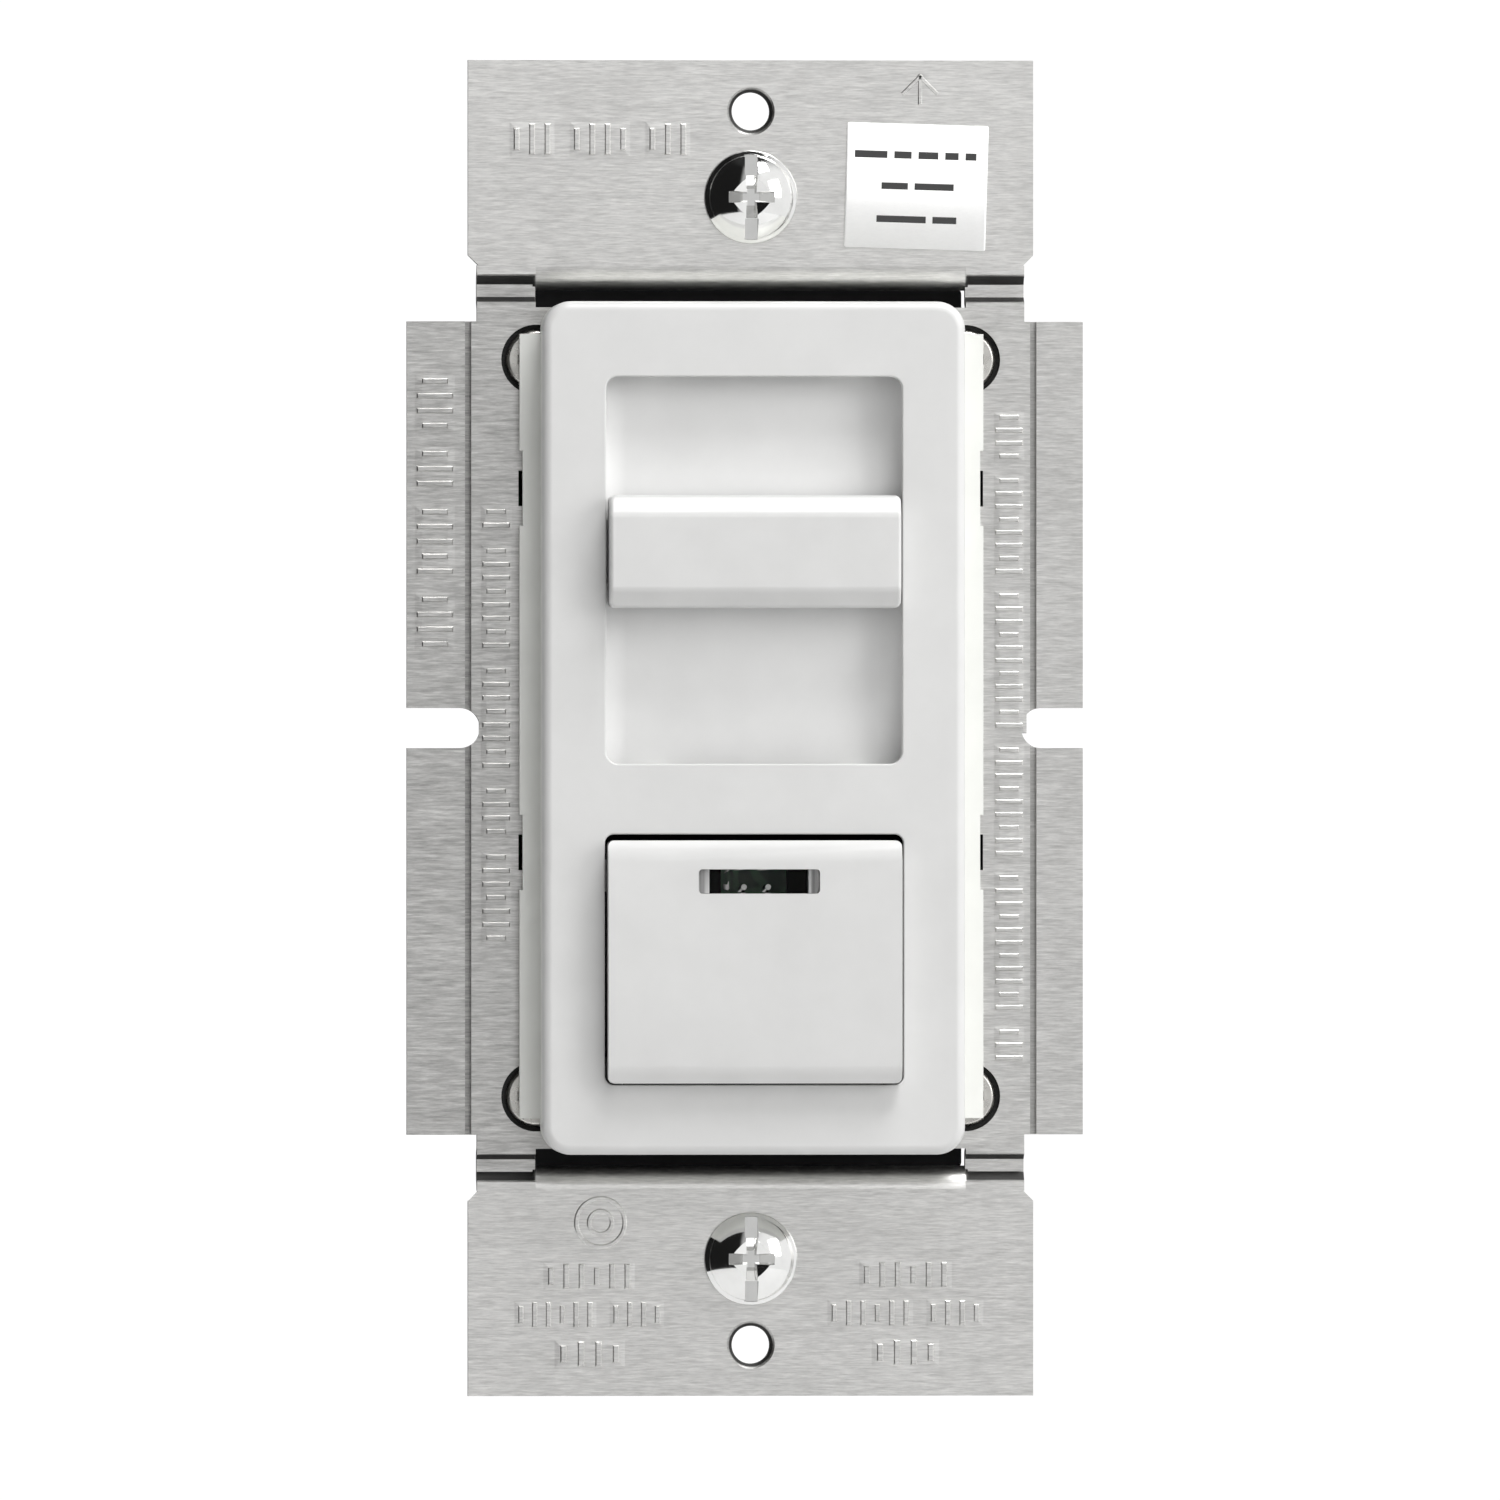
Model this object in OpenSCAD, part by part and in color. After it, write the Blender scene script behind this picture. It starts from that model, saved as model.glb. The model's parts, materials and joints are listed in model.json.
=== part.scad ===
// Wall-box slide dimmer with a push pad, for a rectangular-opening wallplate.
// The front faces -Y. The origin is midway between the screws, on the back plane of the ears.

/* [Strap] */
// Height of the strap over both ears
strap_h = 104.8; // [104:0.1:106]
// Width of the ears
ear_w = 44.4; // [43.4:0.1:45.4]
// Thickness of the sheet
sheet = 1.3; // [1.2:0.05:1.4]
// Outer edge of the left fin, from the centre
fin_left = 27; // [25:0.1:28]
// Outer edge of the right fin, from the centre
fin_right = 26.1; // [25:0.1:28]
// Height of the fins
fin_h = 63.8; // [62:0.1:64]
// Distance between the device mounting screws
device_spacing = 83.3; // [83.3]
// Distance between the wallplate screw holes
plate_spacing = 96.8; // [96.8]

/* [Face] */
// Width of the face frame
face_w = 33.1; // [32.9:0.05:33.3]
// Height of the face frame
face_h = 66.8; // [66.6:0.05:66.9]
// Distance of the frame's face in front of the ears' back plane
face_out = 6.8; // [6.6:0.05:7]
// Height of the slider window
window_h = 30.3; // [30.2:0.05:30.6]
// Height of the window's centre
window_z = 12.35; // [12.3:0.05:12.4]
// Height of the pad's opening
pad_hole_h = 19.6; // [19.5:0.05:19.7]
// Height of the pad's centre
pad_z = -18.3; // [-18.35:0.05:-18.25]

/* [Controls] */
// Width of the slider bar
slider_w = 22.8; // [22.4:0.1:22.9]
// Height of the slider bar
slider_h = 8.8; // [8.6:0.1:8.9]
// Height of the slider's centre at rest
slider_z = 13.8; // [13.7:0.05:13.9]
// Distance of the slider's face in front of the ears' back plane
slider_out = 9.3; // [8.6:0.1:9.8]
// Width of the push pad
pad_w = 23; // [22.8:0.1:23.1]
// Height of the push pad
pad_h = 19; // [18.8:0.1:19]
// Distance of the pad's face in front of the ears' back plane
pad_out = 8.8; // [8.4:0.1:9]

/* [Housing] */
// Width of the back housing
housing_w = 40; // [39.8:0.1:40.4]
// Depth of the back housing behind the strap
housing_d = 26.6; // [26:0.1:30]
// Wall thickness of the back housing
wall = 1.9; // [1.8:0.05:2]

/* [Hidden] */
$fn = 64;
eps = 0.01;
// Strap
ear_z = 36.3;
neck_x = 21.5;
neck_in = 16.9;
lip_x = 17.1;
lip_z = 34.4;
lip_back = 2.6;
bend_in = 0.6;
bend_out = bend_in + sheet;
bar_z = 33;
opening = [26.6, 60.8];
channel = [33.4, 35.6];
channel_slope = [0.45, 0.8];
channel_depth = 1;
ear_chamfer = 0.8;
notch_w = 3.13;
notch_end = 21.25;
score_w = 0.5;
score_depth = 0.6;
plate_hole_r = 1.49;
plate_rim_r = 1.88;
retainer_hole_r = 2.6;
corner = [16.85, 28.9];
corner_hole_r = 1.65;
corner_recess_r = 2.75;
corner_recess = 0.9;
hook_z = [18.8, -9.75];
hook_slot = [16.3, 18.25];
hook_slot_h = 2.8;
hook_w = 2.4;
hook_stem = [17, 17.9];
hook_tip = 15.8;
hook_catch = [0.1, 0.5, 1.3];
// Face frame
face_wall = 1.2;
side_wall = 1.5;
face_r = 2.2;
face_back = 1.4;
skin_back = face_out - face_wall;
flange = [36.4, 61.5];
flange_z = 0.15;
flange_front = 2.6;
flange_relief = [0.25, 5.9];
window = [23.2, window_h];
window_r = 0.95;
pad_hole = [23.4, pad_hole_h];
pad_hole_r = 0.7;
pad_hole_z = pad_z + 0.18;
post_r = 0.8;
post_fit = 0.05;
shoulder_r = 1.5;
post_x = 8;
post_z = [29.2, -4.4];
// Slide track
track_w = 23.5;
track_z = [-5.6, 30.5];
track_floor = 3.8;
track_t = 1;
track_rise = 0.6;
track_r = 3.2;
// Slider
bar_back = 4.75;
wing = [5.4, 4.65];
wing_x = 12.95;
leg_t = 0.9;
leg_h = 5;
leg_back = 3.4;
slider_bevels = [1.5, 1.4, 0.9];
slider_r = 0.5;
leg_foot = [1.8, 3, 0.5];
carriage_y = [1.9, 3.3];
carriage_h = 6;
socket = [4, 6, 1.3];
lever = [1.2, 4];
lever_fit = 0.02;
lever_y = [2.2, 6.2];
wiper_block = [6.4, 7, 6.05, 7.6];
// Potentiometer
pot_z = 12.3;
pot_case_size = [9, 35];
pot_y = [5.2, 9];
pot_wall = 0.5;
pot_slot = [2, 27];
pot_strip = [7.8, 33.8];
pot_strip_y = [8.35, 8.95];
pot_pins = [2, 15.5];
pot_pin_r = 0.35;
// Push pad
pad_wall = 1.3;
pad_front_wall = 1.5;
pad_back = 4.3;
pad_r = 0.5;
pad_bevels = [1.7, 1.4, 0.9, 0.7];
pad_axis = [-3.9, -27];
trunnion_r = 0.7;
trunnion_fit = 0.05;
trunnion_x = 13;
knuckle_r = 1.25;
hinge_rib = [12, 13.2];
hinge_rib_h = 3;
hinge_rib_back = 2.4;
plunger_z = -18.5;
boss_r = 2;
boss_back = 2.4;
stop_tab = [0.9, 1, 2.5, 1.5];
lens_x = 0.3;
lens_z = -12;
lens_hole = [9.5, 1.9];
lens_hole_r = 0.3;
lens_fit = 0.03;
lens_rim = [11.4, 3, 0.8];
// Lamp
shroud = [10, 3];
shroud_hole = [8.2, 2];
shroud_front = 4.6;
lamp = [4.6, 1.7];
lamp_r = 0.3;
lamp_y = [-3.8, 1.6];
lead_r = 0.22;
lead_pitch = 1.9;
lead_z = lens_z - 0.45;
lead_front = -3.2;
hole_fit = 0.02;
// Switch
switch_w = 16;
switch_z = [-27.2, -14.8];
switch_y = [3.6, 16];
switch_wall = 1;
guide_back = 5.2;
plunger_r = 2;
plunger_fit = 0.05;
stem_r = 1.2;
collar = [5.5, 6.5, 3.4];
seat = [11.2, 12];
spring_r = 2.3;
spring_wire = 0.3;
spring_turns = 5;
contact_x = 4.6;
contact_r = 0.9;
bridge_y = [12.55, 13.15];
bridge_tip = 13.6;
bridge_size = [12, 3];
fixed_contact_y = 14.45;
contact_stem_r = 0.6;
// Boards and cover
cover_y = [0.1, 1.3];
cover_size = [36.4, 63.6];
leg_slot = [12.5, 1.9, 27.2];
hook_relief = [17.1, 3.6, 3.6];
control_y = [9.05, 10.65];
power_y = [22, 23.6];
standoff_r = 1.8;
standoff_x = 15.4;
standoff_z = [12.5, -3.5];
board_w = 35.2;
board_screw_r = 1.1;
board_screw_l = 3.6;
thread_fit = 0.03;
power_board_h = 49;
power_posts = [[15.5, 20], [-15.5, -20]];
// What the boards carry
transistor_at = [-11, 21];
transistor_y = [12.2, 16.8];
transistor_pitch = 1.27;
resistor_y = 12;
resistor_r = 0.9;
resistor_l = 6;
resistor_pitch = 4;
capacitor_at = [6, 20];
capacitor_r = 3.1;
capacitor_y = [10.75, 20.9];
link_r = 0.32;
link_z = -8.5;
link_pitch = 2.54;
link_front = 8.2;
film_at = [12.2, 2];
film_size = [8, 17.5];
film_front = 12;
choke_at = [-9.5, 9];
choke_r = [4.2, 6.6];
choke_y = [15.6, 21.2];
choke_turns = 18;
choke_wire = 0.7;
varistor_at = [-10, 15.5, -8];
varistor_r = 4.4;
varistor_t = 3.2;
varistor_lead = [2, 0.35];
// Housing
shoulder_h = 65.4;
tongue = [33.6, 69.4];
tongue_front = 3;
cavity = [housing_w - 2 * wall, 62];
floor_y = housing_d - 1.8;
boss = 3;
post = 2.4;
housing_r = 1.5;
lead_holes = [[-8, 28, 1.7], [0, 28, 1.7], [8, 28, 1.7], [-4, -28, 1.3], [4, -28, 1.3]];
// Screws
head_r = 3.65;
head_h = 1.9;
head_slot = [1.06, 0.9];
head_cross = [4.4, 0.95, 1.3];
thread_r = 1.75;
thread_start = 0.7;
undercut_r = 1.38;
screw_tip = 20;
tip_chamfer = 0.6;
retainer_gap = 0.05;
corner_head_r = 2.38;
corner_head_t = 0.8;
corner_head_edge = 0.25;
corner_shank_r = 1.45;
corner_tip = 11.5;
corner_cross = [2.9, 0.7, 0.5];
// Label
label_at = [13, 42.5];
label_size = [11.1, 9.8];
label_turn = 1.7;
label_t = 0.1;
label_gap = 0.02;

// Helpers ------------------------------------------------------------------

// A rectangle with round corners, centred, made of exact arcs
module rounded(w, h, r) {
    square([w - 2 * r, h], center = true);
    square([w, h - 2 * r], center = true);
    for (sx = [-1, 1], sz = [-1, 1])
        translate([sx * (w / 2 - r), sz * (h / 2 - r)]) circle(r);
}

// Extrudes an outline drawn in X and Z from y0 back to y1
module along_y(y0, y1) {
    translate([0, y1, 0]) rotate([90, 0, 0]) linear_extrude(y1 - y0) children();
}

// Extrudes a profile drawn in Y and Z from x0 to x1
module along_x(x0, x1) {
    translate([x0, 0, 0]) rotate([90, 0, 90]) linear_extrude(x1 - x0) children();
}

// A round bar along Y at x, z
module rod_y(x, z, r, y0, y1) {
    translate([x, y1, z]) rotate([90, 0, 0]) cylinder(r = r, h = y1 - y0);
}

// A solid of revolution about a line along Y through x, z; the profile is in radius and Y
module turned_y(x, z) {
    translate([x, 0, z]) rotate([-90, 0, 0]) rotate_extrude() children();
}

// A block given by its lowest and highest corners
module block(lo, hi) {
    translate(lo) cube(hi - lo);
}

// Repeats its children on both sides of the centre
module both_x() {
    for (side = [0, 1]) mirror([side, 0, 0]) children();
}

// Repeats its children above and below the centre
module both_z() {
    for (side = [0, 1]) mirror([0, 0, side]) children();
}

// Strap --------------------------------------------------------------------

module ear_outline() {
    half = ear_w / 2;
    top = strap_h / 2;
    polygon([[-half, top], [half, top], [half, ear_z + ear_chamfer], [half - ear_chamfer, ear_z],
        [ear_chamfer - half, ear_z], [-half, ear_z + ear_chamfer]]);
}

module centre_outline() {
    difference() {
        union() {
            translate([-fin_left, -fin_h / 2]) square([fin_left + fin_right, fin_h]);
            square([2 * neck_x, 2 * bar_z], center = true);
        }
        square(opening, center = true);
        for (side = [-1, 1]) {
            translate([side * (notch_end + notch_w / 2 + fin_left / 2), 0])
                square([fin_left, notch_w], center = true);
            translate([side * (notch_end + notch_w / 2), 0]) circle(notch_w / 2);
            for (z = hook_z)
                translate([side * (hook_slot[0] + hook_slot[1]) / 2, z])
                    square([hook_slot[1] - hook_slot[0], hook_slot_h], center = true);
        }
    }
}

// Profile of a neck: the sheet dips back into a flat-bottomed channel
module channel_profile() {
    spread = 0.5;
    front = -sheet;
    floor_front = channel_depth - sheet;
    inner = channel[0];
    outer = channel[1];
    polygon([[front, bar_z - spread], [front, inner], [floor_front, inner + channel_slope[0]],
        [floor_front, outer - channel_slope[1]], [front, outer], [front, ear_z + eps],
        [0, ear_z + eps], [0, outer + spread], [channel_depth, outer + spread - channel_slope[1]],
        [channel_depth, inner - spread + channel_slope[0]], [0, inner - spread],
        [0, bar_z - spread]]);
}

// Profile of the lip: a bend of the ear's edge, then a straight flange
module lip_profile() {
    translate([bend_in, lip_z + bend_out]) intersection() {
        difference() {
            circle(bend_out);
            circle(bend_in);
        }
        translate([-bend_out, -bend_out]) square(bend_out);
    }
    translate([bend_in, lip_z]) square([lip_back - bend_in, sheet]);
    translate([-sheet, lip_z + bend_out - eps]) square([sheet, ear_z - lip_z - bend_out + 2 * eps]);
}

module mounting_strap() {
    color("silver") difference() {
        union() {
            along_y(-sheet, 0) centre_outline();
            both_z() {
                along_y(-sheet, 0) ear_outline();
                both_x() along_x(neck_in, neck_x) channel_profile();
                along_x(-lip_x, lip_x) lip_profile();
            }
        }
        for (side = [-1, 1])
            translate([side * ear_w / 2, -sheet, 0])
                cube([score_w, 2 * score_depth, fin_h + 1], center = true);
        both_z() {
            rod_y(0, plate_spacing / 2, plate_hole_r, -sheet - 1, 1);
            turned_y(0, plate_spacing / 2)
                polygon([[0, -sheet - 1], [plate_rim_r, -sheet - 1], [plate_rim_r, -sheet],
                    [plate_hole_r, plate_rim_r - plate_hole_r - sheet], [0, 0]]);
            rod_y(0, device_spacing / 2, retainer_hole_r, -sheet - 1, 1);
            both_x() {
                rod_y(corner[0], corner[1], corner_hole_r, -sheet - 1, 1);
                rod_y(corner[0], corner[1], corner_recess_r, -sheet - 1, corner_recess - sheet);
            }
        }
    }
}

// Screws -------------------------------------------------------------------

// A cross recess with arms of the given length and width, to be cut from a head
module cross_recess(length, width, y0, y1) {
    along_y(y0, y1) {
        square([length, width], center = true);
        square([width, length], center = true);
    }
}

// Combination-head machine screw whose shank is thinned under the head
module mounting_screws() {
    seat_y = -sheet - retainer_gap;
    dome_r = (head_r * head_r + head_h * head_h) / (2 * head_h);
    top_y = seat_y - head_h;
    color("gainsboro") both_z() translate([0, 0, device_spacing / 2]) difference() {
        union() {
            intersection() {
                translate([0, top_y + dome_r, 0]) rotate([90, 0, 0]) sphere(dome_r);
                rod_y(0, 0, head_r, top_y - 1, seat_y);
            }
            turned_y(0, 0) polygon([[0, seat_y - eps], [undercut_r, seat_y - eps],
                [undercut_r, thread_start - 0.4], [thread_r, thread_start],
                [thread_r, screw_tip - tip_chamfer], [thread_r - tip_chamfer, screw_tip],
                [0, screw_tip]]);
        }
        block([-head_slot[0] / 2, top_y - 1, -head_r - 1],
            [head_slot[0] / 2, top_y + head_slot[1], head_r + 1]);
        cross_recess(head_cross[0], head_cross[1], top_y - 1, top_y + head_cross[2]);
    }
}

// Bushings that keep the mounting screws captive in the ears
module screw_retainers() {
    color("white") both_z() difference() {
        rod_y(0, device_spacing / 2, retainer_hole_r - retainer_gap, retainer_gap - sheet,
            -retainer_gap);
        rod_y(0, device_spacing / 2, undercut_r + retainer_gap, -sheet - 1, 1);
    }
}

module housing_screws() {
    head_y = corner_recess - sheet;
    top_y = head_y - corner_head_t;
    color("gray") both_x() both_z() translate([corner[0], 0, corner[1]]) difference() {
        turned_y(0, 0) polygon([[0, top_y], [corner_head_r - corner_head_edge, top_y],
            [corner_head_r, top_y + corner_head_edge], [corner_head_r, head_y],
            [corner_shank_r, head_y],
            [corner_shank_r, corner_tip - 1], [corner_shank_r - 0.5, corner_tip], [0, corner_tip]]);
        cross_recess(corner_cross[0], corner_cross[1], top_y - 1, top_y + corner_cross[2]);
    }
}

// Paper sticker on the upper ear
module rating_label() {
    back_y = -sheet - label_gap;
    color("white") translate([label_at[0], 0, label_at[1]]) rotate([0, label_turn, 0])
        along_y(back_y - label_t, back_y) rounded(label_size[0], label_size[1], 0.15);
}

// Face frame ---------------------------------------------------------------

// A snap hook that reaches through the strap and catches behind its slot
module snap_hook(z) {
    root = 0.3 - flange_front;
    translate([0, 0, z - hook_w / 2]) linear_extrude(hook_w)
        polygon([[hook_stem[1], root], [hook_stem[0], root], [hook_stem[0], hook_catch[0]],
            [hook_tip, hook_catch[0]], [hook_tip, hook_catch[1]],
            [hook_stem[0] - 0.2, hook_catch[2]], [hook_stem[1], hook_catch[2]]]);
}

// A rib with the bearing hole for one of the pad's trunnions
module hinge_rib_plate() {
    difference() {
        along_x(hinge_rib[0], hinge_rib[1])
            translate([-skin_back - eps, pad_axis[1] - hinge_rib_h / 2])
                square([skin_back - hinge_rib_back, hinge_rib_h]);
        translate([hinge_rib[0] - 1, pad_axis[0], pad_axis[1]]) rotate([0, 90, 0])
            cylinder(r = trunnion_r + trunnion_fit, h = hinge_rib[1] - hinge_rib[0] + 2);
    }
}

module face_frame() {
    inner = [face_w - 2 * side_wall, face_h - 2 * side_wall];
    color("white") {
        difference() {
            union() {
                along_y(-face_out, -face_back) rounded(face_w, face_h, face_r);
                along_y(-flange_front, -face_back) difference() {
                    translate([0, flange_z]) square(flange, center = true);
                    for (side = [-1, 1], z = hook_z)
                        translate([side * flange[0] / 2, z])
                            square([2 * flange_relief[0], flange_relief[1]], center = true);
                }
            }
            along_y(-skin_back, 0) rounded(inner[0], inner[1], face_r - side_wall);
            along_y(-face_out - 1, 0) translate([0, window_z]) rounded(window[0], window[1], window_r);
            along_y(-face_out - 1, 0)
                translate([0, pad_hole_z]) rounded(pad_hole[0], pad_hole[1], pad_hole_r);
        }
        for (side = [-1, 1], z = post_z) {
            rod_y(side * post_x, z, shoulder_r, -skin_back - eps, -track_floor);
            rod_y(side * post_x, z, post_r, -track_floor - eps, -track_floor + track_t + 0.5);
        }
        both_x() {
            hinge_rib_plate();
            for (z = hook_z) snap_hook(z);
        }
    }
}

// The trough behind the slider; its long edges curve forward
module track_plate() {
    foot = sqrt(track_r * track_r - pow(track_r - track_rise, 2));
    half = track_w / 2;
    height = track_z[1] - track_z[0];
    color("white") difference() {
        translate([0, 0, track_z[0]]) linear_extrude(height) {
            translate([-half, -track_floor]) square([track_w, track_t]);
            for (side = [-1, 1]) difference() {
                translate([side * (half - foot / 2), -track_floor - track_rise / 2])
                    square([foot, track_rise + 2 * eps], center = true);
                translate([side * (half - foot), -track_floor - track_r]) circle(track_r);
            }
        }
        for (side = [-1, 1], z = post_z)
            rod_y(side * post_x, z, post_r + post_fit, -track_floor - 1, 0);
        for (z = post_z)
            along_y(-track_floor - 1, -track_floor) translate([0, z])
                square([track_w + 1, 2 * shoulder_r + 0.2], center = true);
    }
}

// Slider -------------------------------------------------------------------

// The bar, with a wing and a leg at each end that pass behind the frame
module slider_bar() {
    top = slider_h / 2;
    recess = slider_bevels[2];
    color("white") translate([0, 0, slider_z]) {
        intersection() {
            along_x(-slider_w / 2, slider_w / 2)
                polygon([[-slider_out, top - slider_bevels[0]], [recess - slider_out, top],
                    [-bar_back, top], [-bar_back, -top], [recess - slider_out, -top],
                    [-slider_out, slider_bevels[1] - top]]);
            along_y(-slider_out - 1, 0) rounded(slider_w, slider_h, slider_r);
        }
        both_x() {
            block([slider_w / 2 - 1, -wing[0], -leg_h / 2], [wing_x, -wing[1], leg_h / 2]);
            block([wing_x - leg_t, -wing[0], -leg_h / 2],
                [wing_x, leg_back + leg_foot[2], leg_h / 2]);
            block([wing_x - leg_t / 2 - leg_foot[0], leg_back, -leg_foot[1] / 2],
                [wing_x - leg_t / 2, leg_back + leg_foot[2], leg_foot[1] / 2]);
        }
    }
}

// Cross plate that the slider's legs clip around, with a socket for the lever
module slider_carriage() {
    inner_x = wing_x - leg_t;
    color("dimgray") translate([0, 0, slider_z]) difference() {
        union() {
            block([-inner_x, carriage_y[0], -carriage_h / 2], [inner_x, carriage_y[1], carriage_h / 2]);
            block([-socket[0] / 2, carriage_y[1] - eps, -socket[1] / 2],
                [socket[0] / 2, carriage_y[1] + socket[2], socket[1] / 2]);
        }
        along_y(0, lever_y[1])
            square([lever[0] + 2 * lever_fit, lever[1] + 2 * lever_fit], center = true);
    }
}

// Potentiometer ------------------------------------------------------------

module pot_lever() {
    color("black") translate([0, 0, slider_z]) {
        along_y(lever_y[0], lever_y[1]) square([lever[0], lever[1]], center = true);
        along_y(wiper_block[2], wiper_block[3])
            square([wiper_block[0], wiper_block[1]], center = true);
    }
}

module wiper_contacts() {
    strip_y = wiper_block[3];
    leaf = [[0.1, 0.8], [0.1, 1.6], [0.6, 2.6], [0.6, 2.2]];
    color("gold") translate([0, strip_y, slider_z]) for (x = [-1.8, 1.8]) translate([x, 0, 0]) {
        block([-0.5, 0, -2.5], [0.5, 0.2, 2.5]);
        along_x(-0.4, 0.4) polygon(leaf);
    }
}

module pot_case() {
    half = [pot_case_size[0] / 2, pot_case_size[1] / 2];
    inner = [half[0] - pot_wall, half[1] - pot_wall];
    color("gainsboro") translate([0, 0, pot_z]) difference() {
        block([-half[0], pot_y[0], -half[1]], [half[0], pot_y[1], half[1]]);
        block([-inner[0], pot_y[0] + pot_wall, -inner[1]], [inner[0], pot_y[1] + 1, inner[1]]);
        along_y(0, pot_y[1]) rounded(pot_slot[0], pot_slot[1], pot_slot[0] / 2 - eps);
    }
}

module pot_element() {
    color("saddlebrown") along_y(pot_strip_y[0], pot_strip_y[1])
        translate([0, pot_z]) square(pot_strip, center = true);
}

module pot_terminals() {
    color("silver") both_x() for (side = [-1, 1])
        rod_y(pot_pins[0], pot_z + side * pot_pins[1], pot_pin_r, pot_strip_y[1] + eps,
            control_y[1] + 0.95);
}

// Push pad -----------------------------------------------------------------

module push_pad() {
    top = pad_z + pad_h / 2;
    low = pad_z - pad_h / 2;
    half = pad_w / 2;
    color("white") difference() {
        union() {
            difference() {
                intersection() {
                    along_x(-half, half)
                        polygon([[-pad_out, top - pad_bevels[0]], [pad_bevels[2] - pad_out, top],
                            [-pad_back, top], [-pad_back, low], [pad_bevels[3] - pad_out, low],
                            [-pad_out, low + pad_bevels[1]]]);
                    along_y(-pad_out - 1, 0)
                        translate([0, pad_z]) rounded(pad_w, pad_h, pad_r);
                }
                block([pad_wall - half, pad_front_wall - pad_out, low + pad_wall],
                    [half - pad_wall, 0, top - pad_wall]);
            }
            rod_y(0, plunger_z, boss_r, pad_front_wall - pad_out - eps, -boss_back);
            both_x() {
                translate([half - pad_wall, pad_axis[0], pad_axis[1]]) rotate([0, 90, 0])
                    cylinder(r = knuckle_r, h = pad_wall);
                translate([half - eps, pad_axis[0], pad_axis[1]]) rotate([0, 90, 0])
                    cylinder(r = trunnion_r, h = trunnion_x - half);
                block([half - eps, -pad_back - stop_tab[1], top - stop_tab[2] - stop_tab[3]],
                    [half + stop_tab[0], -pad_back, top - stop_tab[3]]);
            }
        }
        along_y(-pad_out - 1, -pad_out + pad_front_wall + 1)
            translate([lens_x, lens_z]) rounded(lens_hole[0], lens_hole[1], lens_hole_r);
    }
}

// Clear window, with a rim that rests behind the pad's front wall
module locator_lens() {
    rim_y = pad_front_wall - pad_out;
    color("lightgray", 0.4) {
        along_y(rim_y - pad_front_wall / 2, rim_y + eps) translate([lens_x, lens_z])
            rounded(lens_hole[0] - 2 * lens_fit, lens_hole[1] - 2 * lens_fit,
                lens_hole_r - lens_fit);
        along_y(rim_y, rim_y + lens_rim[2])
            translate([lens_x, lens_z]) rounded(lens_rim[0], lens_rim[1], lens_hole_r);
    }
}

// The two leads of the lamp, thicker or thinner by a margin
module lead_pair(margin, y0, y1) {
    for (side = [-1, 1])
        rod_y(lens_x + side * lead_pitch / 2, lead_z, lead_r + margin, y0, y1);
}

// Clear rectangular lamp moulded around its leads
module locator_lamp() {
    color("orange") difference() {
        along_y(lamp_y[0], lamp_y[1]) translate([lens_x, lens_z]) rounded(lamp[0], lamp[1], lamp_r);
        lead_pair(hole_fit, lead_front - hole_fit, lamp_y[1] + 1);
    }
}

module lamp_leads() {
    color("silver") lead_pair(0, lead_front, control_y[1] + 0.75);
}

module lamp_shroud() {
    color("black") difference() {
        along_y(-shroud_front, 0.05) translate([lens_x, lens_z]) rounded(shroud[0], shroud[1], 0.4);
        along_y(-shroud_front - 1, 1)
            translate([lens_x, lens_z]) rounded(shroud_hole[0], shroud_hole[1], 0.3);
    }
}

// Switch -------------------------------------------------------------------

module switch_case() {
    half = switch_w / 2;
    color("beige") difference() {
        block([-half, switch_y[0], switch_z[0]], [half, switch_y[1], switch_z[1]]);
        difference() {
            block([switch_wall - half, guide_back, switch_z[0] + switch_wall],
                [half - switch_wall, switch_y[1] - switch_wall, switch_z[1] - switch_wall]);
            block([-half, seat[0], switch_z[0]], [half, seat[1], switch_z[1]]);
        }
        rod_y(0, plunger_z, plunger_r + plunger_fit, 0, guide_back + 1);
        rod_y(0, plunger_z, stem_r + 0.4, seat[0] - 1, seat[1] + 1);
        for (side = [-1, 1])
            rod_y(side * contact_x, plunger_z, contact_r + hole_fit,
                fixed_contact_y - 0.45, switch_y[1] + 1);
    }
}

module switch_plunger() {
    tip = 0.15 - boss_back;
    dome_r = 3;
    dome_h = dome_r - sqrt(dome_r * dome_r - plunger_r * plunger_r);
    color("black") {
        turned_y(0, plunger_z) polygon([[0, tip + dome_h], [plunger_r, tip + dome_h],
            [plunger_r, collar[0]], [collar[2] - 1, collar[0]], [collar[2] - 1, collar[1]],
            [stem_r, collar[1]], [stem_r, bridge_y[0]], [0, bridge_y[0]]]);
        intersection() {
            translate([0, tip + dome_r, plunger_z]) rotate([90, 0, 0]) sphere(dome_r);
            rod_y(0, plunger_z, plunger_r, tip - 1, tip + dome_h + eps);
        }
    }
}

// Points of a ring of the spring's wire, at an angle along the coil
function coil_ring(turn, length, sides) = [for (i = [0:sides - 1])
    let (a = 360 * i / sides, reach = spring_r + spring_wire * cos(a), at = 360 * turn)
    [reach * cos(at), length * turn / spring_turns + spring_wire * sin(a), reach * sin(at)]];

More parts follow.
